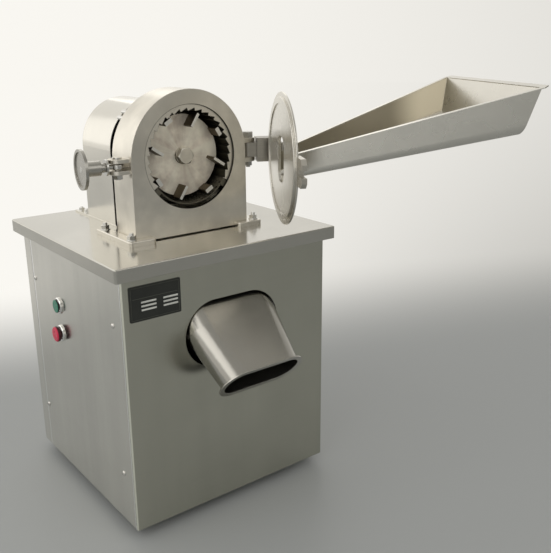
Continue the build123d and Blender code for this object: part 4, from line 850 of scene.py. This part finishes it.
class MILL_OT_head(bpy.types.Operator):
    """Finish the mill head, its liner and sieve"""

    bl_idname = "mill.head"
    bl_label = "Mill head"

    def execute(self, context):
        steel = context.scene.mill_steel
        # The housing is painted in the shadow colour inside the liner's radius: a painted shadow
        # round the seated liner.
        ground = metal("ground_housing", steel.head, 0.33, lines=(60.0, 900.0, 60.0), grain=0.04,
                       depth=0.000012, marks=0.16, mark_size=13.0, edge=0.0012,
                       centre=ROTOR_CENTRE, seam_shadow=BORE_RADIUS)
        feet = metal("foot_plate_steel", scaled(steel.head, 0.96), 0.24,
                     lines=(20.0, 900.0, 20.0), marks=0.06)
        # The liner's faces that don't point to the front are painted dark as shade, and its edges
        # are painted dark as a shadow line.
        lining = metal("liner_steel", steel.head, 0.36, lines=EVEN_LINES, marks=0.10, edge=0.0011,
                       painted_edge_gain=0.12, facing=OUT_FRONT, painted_shade=(0.075, 0.070, 0.050),
                       away_rough=0.2)
        sieve = metal("sieve_steel", (0.16, 0.15, 0.12), 0.45, lines=EVEN_LINES, marks=0.15,
                      edge=0.0003)
        finish_nodes(ground, "mill_housing")
        finish_nodes(feet, "foot_plate_left", "foot_plate_right")
        finish_nodes(lining, "liner_ring")
        finish_nodes(sieve, "sieve", "sieve_seats")
        return {"FINISHED"}


class MILL_OT_rotor(bpy.types.Operator):
    """Finish the rotor and its shaft, and make the bolt at its middle"""

    bl_idname = "mill.rotor"
    bl_label = "Rotor"

    def execute(self, context):
        steel = context.scene.mill_steel
        disc = metal("rotor_disc_steel", (0.80, 0.68, 0.58), 0.40, turned=1400.0, streaks=0.50,
                     centre=ROTOR_CENTRE, depth=0.000003, marks=0.36, mark_size=24.0,
                     edge=0.0003, wavy=0.0012, metallic=0.40)
        # Faces of the beaters that don't point to the front are painted dark brown as shade, and
        # their edges are painted brighter as a highlight.
        bars = metal("beater_steel", scaled(steel.plated, 1.25), 0.34, marks=0.05,
                     mark_size=60.0, edge=0.00015, depth=0.000004, facing=OUT_FRONT,
                     painted_shade=(0.115, 0.092, 0.060), away_rough=0.12)
        # The bolt head and the shaft: faces that don't point up and to the front are painted dark
        # as shade.
        bolt = metal("rotor_bolt_steel", scaled(steel.head, 1.05), 0.34, marks=0.05,
                     mark_size=60.0, edge=0.0004, depth=0.000002, facing=BOLT_LIT_FACET,
                     limits=(0.25, 0.55), painted_shade=(0.16, 0.145, 0.11))
        finish_nodes(disc, "rotor_disc")
        finish_nodes(bars, "beater_bars", "beater_blocks")
        finish_nodes(bolt, "main_shaft")
        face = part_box("rotor_washer")[1].y
        place = (ROTOR_CENTRE.x / MM, face / MM, ROTOR_CENTRE.z / MM)
        run_tree(hex_nut_tree(), "rotor_bolt_head", [place], "rotor", "bright_fastener",
                 ("rotor_bolt", "rotor_washer"), Tilt=TO_FRONT,
                 Corner_Radius=context.scene.mill_sizes.rotor_bolt, Nut_Height=10.0 * MM,
                 Washer_Radius=14.6 * MM, Washer_Height=4.0 * MM, Stud_Height=0.0, Finish=bolt)
        return {"FINISHED"}


class MILL_OT_guard(bpy.types.Operator):
    """Finish the guard behind the mill head"""

    bl_idname = "mill.guard"
    bl_label = "Guard"

    def execute(self, context):
        rolled = metal("rolled_guard", scaled(context.scene.mill_steel.polished, 1.12), 0.22,
                       lines=(30.0, 600.0, 30.0), grain=0.02, depth=0.000002, marks=0.04)
        finish_nodes(rolled, "rear_guard", "guard_base")
        return {"FINISHED"}


class MILL_OT_door(bpy.types.Operator):
    """Finish the door, its arm and the latch fork"""

    bl_idname = "mill.door"
    bl_label = "Door"

    def execute(self, context):
        steel = context.scene.mill_steel
        lid = metal("pressed_lid", scaled(steel.polished, 1.08), 0.29, lines=(600.0, 600.0, 18.0),
                    grain=0.04, depth=0.000002, marks=0.06, edge=0.0012)
        arm = metal("door_arm_steel", scaled(steel.head, 0.48), 0.36, lines=(25.0, 25.0, 900.0),
                    marks=0.08, edge=0.0005)
        fork = metal("latch_fork_steel", scaled(steel.head, 0.85), 0.30, marks=0.08, edge=0.0005)
        finish_nodes(lid, "door_disc")
        finish_nodes(arm, "door_arm")
        finish_nodes(fork, "latch_fork")
        return {"FINISHED"}


class MILL_OT_hopper(bpy.types.Operator):
    """Finish the feed hopper"""

    bl_idname = "mill.hopper"
    bl_label = "Hopper"

    def execute(self, context):
        # The far inner wall is painted dark near the door as shade, and painted lighter towards the
        # hopper's end as a reflection of light.
        satin = metal("hopper_sheet", scaled(context.scene.mill_steel.polished, 1.20), 0.30,
                      lines=(12.0, 12.0, 300.0), grain=0.0, depth=0.0000004, marks=0.05,
                      bands=(6.0, 6.0, 6.0), band_gain=0.05, edge=0.0003, facing=FAR_WALL,
                      limits=(0.97, 0.90), painted_shade=(0.195, 0.178, 0.138), away_rough=0.05,
                      along=(OUT_RIGHT, HOPPER_HIGH.x - 0.16, HOPPER_HIGH.x - 0.075),
                      far_painted_light=(0.50, 0.46, 0.37))
        finish_nodes(satin, "hopper", "hopper_plate")
        return {"FINISHED"}


class MILL_OT_latch(bpy.types.Operator):
    """Finish the swing bolt and its handwheel"""

    bl_idname = "mill.latch"
    bl_label = "Latch"

    def execute(self, context):
        steel = context.scene.mill_steel
        bright = metal("latch_steel", scaled(steel.plated, 0.92), 0.22, marks=0.06, edge=0.0005,
                       depth=0.000004)
        wheel = metal("handwheel_steel", scaled(steel.polished, 0.72), 0.30, marks=0.08,
                      mark_size=40.0, grain=0.02, edge=0.0005, depth=0.000001)
        finish_nodes(bright, "swing_bolt", "latch_washer")
        finish_nodes(wheel, "handwheel")
        return {"FINISHED"}


class MILL_OT_duct(bpy.types.Operator):
    """Finish the discharge duct"""

    bl_idname = "mill.duct"
    bl_label = "Discharge duct"

    def execute(self, context):
        # The duct's lip and other edges are painted brighter as a highlight.
        duct = metal("duct_sheet", scaled(context.scene.mill_steel.polished, 0.76), 0.27,
                     lines=(320.0, 12.0, 12.0), grain=0.0, depth=0.0000004, marks=0.05,
                     painted_edge_gain=1.7)
        finish_nodes(duct, "discharge_duct")
        return {"FINISHED"}


class MILL_OT_drive(bpy.types.Operator):
    """Finish the bearings, belt drive and motor"""

    bl_idname = "mill.drive"
    bl_label = "Drive"

    def execute(self, context):
        finish_nodes(metal("pedestal_iron", (0.16, 0.17, 0.18), 0.55, lines=(300.0, 300.0, 300.0),
                           marks=0.15, metallic=0.3), "bearing_pedestal")
        finish_nodes(metal("pulley_iron", (0.32, 0.32, 0.33), 0.38, lines=(40.0, 900.0, 40.0)),
                     "mill_pulley", "motor_pulley")
        finish_nodes(metal("shaft_steel", (0.60, 0.60, 0.60), 0.22, lines=(40.0, 1200.0, 40.0)),
                     "bearings", "motor_shaft")
        finish_nodes(coated("motor_enamel", (0.03, 0.11, 0.20), 0.35, coat=0.2),
                     "motor_body", "motor_fan_cover", "motor_terminal_box")
        finish_nodes(coated("belt_rubber", (0.02, 0.02, 0.02), 0.7), "drive_belt")
        return {"FINISHED"}


# ------------ stage

FLOOR_RADIUS = 14.0
FLOOR_ROUGHNESS = 0.42
FLOOR_SPECULAR = 0.3

# Where the floor runs out into the surroundings, in metres.
FADE_BEHIND = (0.35, 1.20)
FADE_FAR = (2.6, 6.0)
FADE_LEFT = {"From_Min": -0.75, "From_Max": -0.30, "To_Min": 0.35, "To_Max": 1.0}

DAYLIGHT_COLOUR = (1.0, 0.985, 0.96)

# Name, place, target, width and height in metres, and power in watts.
LAMPS = (
    ("key", (-2.0, -0.4, 2.1), (0.0, 0.0, 0.45), 2.5, 2.1, 15.5),
    ("window", (-1.7, 1.9, 1.30), (0.0, 0.0, 0.60), 2.6, 1.6, 4.8),
    ("fill", (0.8, -2.4, 1.9), (0.0, 0.0, 0.40), 1.8, 1.6, 7.0),
    ("near", (-1.6, -1.9, 0.75), (0.3, -0.3, 0.60), 1.6, 1.2, 4.0),
    ("back", (1.3, 2.0, 2.0), (0.0, 0.0, 0.50), 1.6, 1.2, 4.0),
)

CAMERA_PLACE = (-0.6662, -1.1740, 0.7931)
CAMERA_YAW = math.radians(37.81)
CAMERA_PITCH = math.radians(17.485)
CAMERA_ROLL = math.radians(-0.450)
SENSOR_WIDTH = 36.0
CAMERA_REACH = 60.0


def room_colour(tree, direction, stage):
    """The surroundings in a direction, as a colour socket."""
    return place_group(tree, SURROUNDINGS, Direction=direction, Pale=(*stage.pale, 1.0),
                       Grey=(*stage.grey, 1.0))["Color"]


def shown_rays(tree):
    """A mask that is 1 for what the camera sees, directly, in metal or through glass."""
    path = tree.nodes.new("ShaderNodeLightPath").outputs
    shown = add_math(tree, "ADD", path["Is Camera Ray"], path["Is Glossy Ray"], clamp=True)
    return add_math(tree, "ADD", shown, path["Is Transmission Ray"], clamp=True)


def mixed_shader(tree, factor, first, second):
    """A Mix Shader node that blends two shader nodes."""
    mix = tree.nodes.new("ShaderNodeMixShader")
    for slot, value in zip(mix.inputs, (factor, first.outputs[0], second.outputs[0])):
        tree.links.new(value, slot)
    return mix


def lay_floor(stage):
    """A large flat floor that runs out into the surroundings behind the mill and far away."""
    mesh = bpy.data.meshes.new("floor")
    build = bmesh.new()
    bmesh.ops.create_circle(build, cap_ends=True, radius=FLOOR_RADIUS, segments=96)
    build.to_mesh(mesh)
    build.free()
    floor = bpy.data.objects.new("floor", mesh)
    bpy.context.scene.collection.objects.link(floor)
    material = bpy.data.materials.new("pale_floor")
    material.use_nodes = True
    tree = material.node_tree
    shader = tree.nodes["Principled BSDF"]
    shader.inputs["Roughness"].default_value = FLOOR_ROUGHNESS
    shader.inputs["Specular IOR Level"].default_value = FLOOR_SPECULAR
    shader.inputs["Base Color"].default_value = (*stage.floor, 1.0)
    place = tree.nodes.new("ShaderNodeTexCoord").outputs["Object"]
    across = add_node(tree, "ShaderNodeSeparateXYZ", Vector=place).outputs["X"]
    left = add_node(tree, "ShaderNodeMapRange", Value=across, **FADE_LEFT).outputs["Result"]
    behind = ramp(tree, vector_math(tree, "DOT_PRODUCT", place, BEHIND), *FADE_BEHIND)
    far = ramp(tree, vector_math(tree, "LENGTH", place), *FADE_FAR)
    fade = add_math(tree, "MAXIMUM", times(tree, behind, left), far)
    outwards = vector_math(tree, "NORMALIZE", place)
    glow = add_node(tree, "ShaderNodeEmission", Color=room_colour(tree, outwards, stage))
    mix = mixed_shader(tree, times(tree, fade, shown_rays(tree)), shader, glow)
    tree.links.new(mix.outputs[0], tree.nodes["Material Output"].inputs["Surface"])
    mesh.materials.append(material)


def light_room(stage):
    """An even soft room with large lamps: a key high on the left, and weaker ones around."""
    world = bpy.data.worlds.new("room")
    bpy.context.scene.world = world
    world.use_nodes = True
    tree = world.node_tree
    tree.nodes.clear()
    even = add_node(tree, "ShaderNodeBackground", Color=(*DAYLIGHT_COLOUR, 1.0),
                    Strength=stage.daylight)
    direction = tree.nodes.new("ShaderNodeTexCoord").outputs["Generated"]
    seen = add_node(tree, "ShaderNodeBackground", Color=room_colour(tree, direction, stage))
    mix = mixed_shader(tree, shown_rays(tree), even, seen)
    add_node(tree, "ShaderNodeOutputWorld", Surface=mix.outputs[0])
    for lamp in LAMPS:
        add_lamp(*lamp)


def add_lamp(name, place, target, width, height, power):
    """A soft rectangular lamp aimed at a point."""
    lamp = bpy.data.lights.new(name, "AREA")
    lamp.shape = "RECTANGLE"
    lamp.size = width
    lamp.size_y = height
    lamp.energy = power
    lamp.color = DAYLIGHT_COLOUR
    holder = bpy.data.objects.new(name, lamp)
    bpy.context.scene.collection.objects.link(holder)
    aim = Vector(target) - Vector(place)
    holder.rotation_euler = aim.to_track_quat("-Z", "Y").to_euler()
    holder.location = place
    holder.visible_camera = False


def place_camera(context, stage):
    """The camera stands to the front left, a little above the mill head."""
    level = math.cos(CAMERA_PITCH)
    forward = Vector((math.sin(CAMERA_YAW) * level, math.cos(CAMERA_YAW) * level,
                      -math.sin(CAMERA_PITCH)))
    right = forward.cross(Vector((0.0, 0.0, 1.0))).normalized()
    up = right.cross(forward)
    rolled_right = math.cos(CAMERA_ROLL) * right + math.sin(CAMERA_ROLL) * up
    rolled_up = math.cos(CAMERA_ROLL) * up - math.sin(CAMERA_ROLL) * right
    data = bpy.data.cameras.new("camera")
    data.sensor_width = SENSOR_WIDTH
    data.lens = stage.lens
    data.clip_end = CAMERA_REACH
    camera = bpy.data.objects.new("camera", data)
    context.scene.collection.objects.link(camera)
    turn = Matrix((rolled_right, rolled_up, -forward)).transposed().to_4x4()
    camera.matrix_world = Matrix.Translation(CAMERA_PLACE) @ turn
    context.scene.camera = camera
    context.scene.view_settings.view_transform = "Standard"


class MILL_OT_stage(bpy.types.Operator):
    """Lay the floor, set the lamps and place the camera"""

    bl_idname = "mill.stage"
    bl_label = "Stage"

    def execute(self, context):
        stage = context.scene.mill_stage
        lay_floor(stage)
        light_room(stage)
        place_camera(context, stage)
        return {"FINISHED"}


# ------------ panel and registration

STEPS = (MILL_OT_cabinet, MILL_OT_worktop, MILL_OT_controls, MILL_OT_fasteners, MILL_OT_head,
         MILL_OT_rotor, MILL_OT_guard, MILL_OT_door, MILL_OT_hopper, MILL_OT_latch, MILL_OT_duct,
         MILL_OT_drive, MILL_OT_stage)
SETTINGS = {"mill_steel": MillSteelSettings, "mill_sizes": MillSizeSettings,
            "mill_stage": MillStageSettings}


class MILL_PT_panel(bpy.types.Panel):
    """Lists the settings and the pieces of the mill"""

    bl_idname = "MILL_PT_panel"
    bl_label = "Laboratory mill"
    bl_space_type = "VIEW_3D"
    bl_region_type = "UI"
    bl_category = "Mill"

    def draw(self, context):
        for holder in SETTINGS:
            group = getattr(context.scene, holder)
            box = self.layout.box()
            for name in group.__annotations__:
                box.prop(group, name)
        for step in STEPS:
            self.layout.operator(step.bl_idname)


CLASSES = (*SETTINGS.values(), *STEPS, MILL_PT_panel)


def register():
    for cls in CLASSES:
        bpy.utils.register_class(cls)
    for holder, group in SETTINGS.items():
        setattr(bpy.types.Scene, holder, bpy.props.PointerProperty(type=group))


def unregister():
    for holder in SETTINGS:
        delattr(bpy.types.Scene, holder)
    for cls in reversed(CLASSES):
        bpy.utils.unregister_class(cls)


def main():
    register()
    for step in STEPS:
        family, name = step.bl_idname.split(".")
        getattr(getattr(bpy.ops, family), name)()


if __name__ == "__main__":
    main()
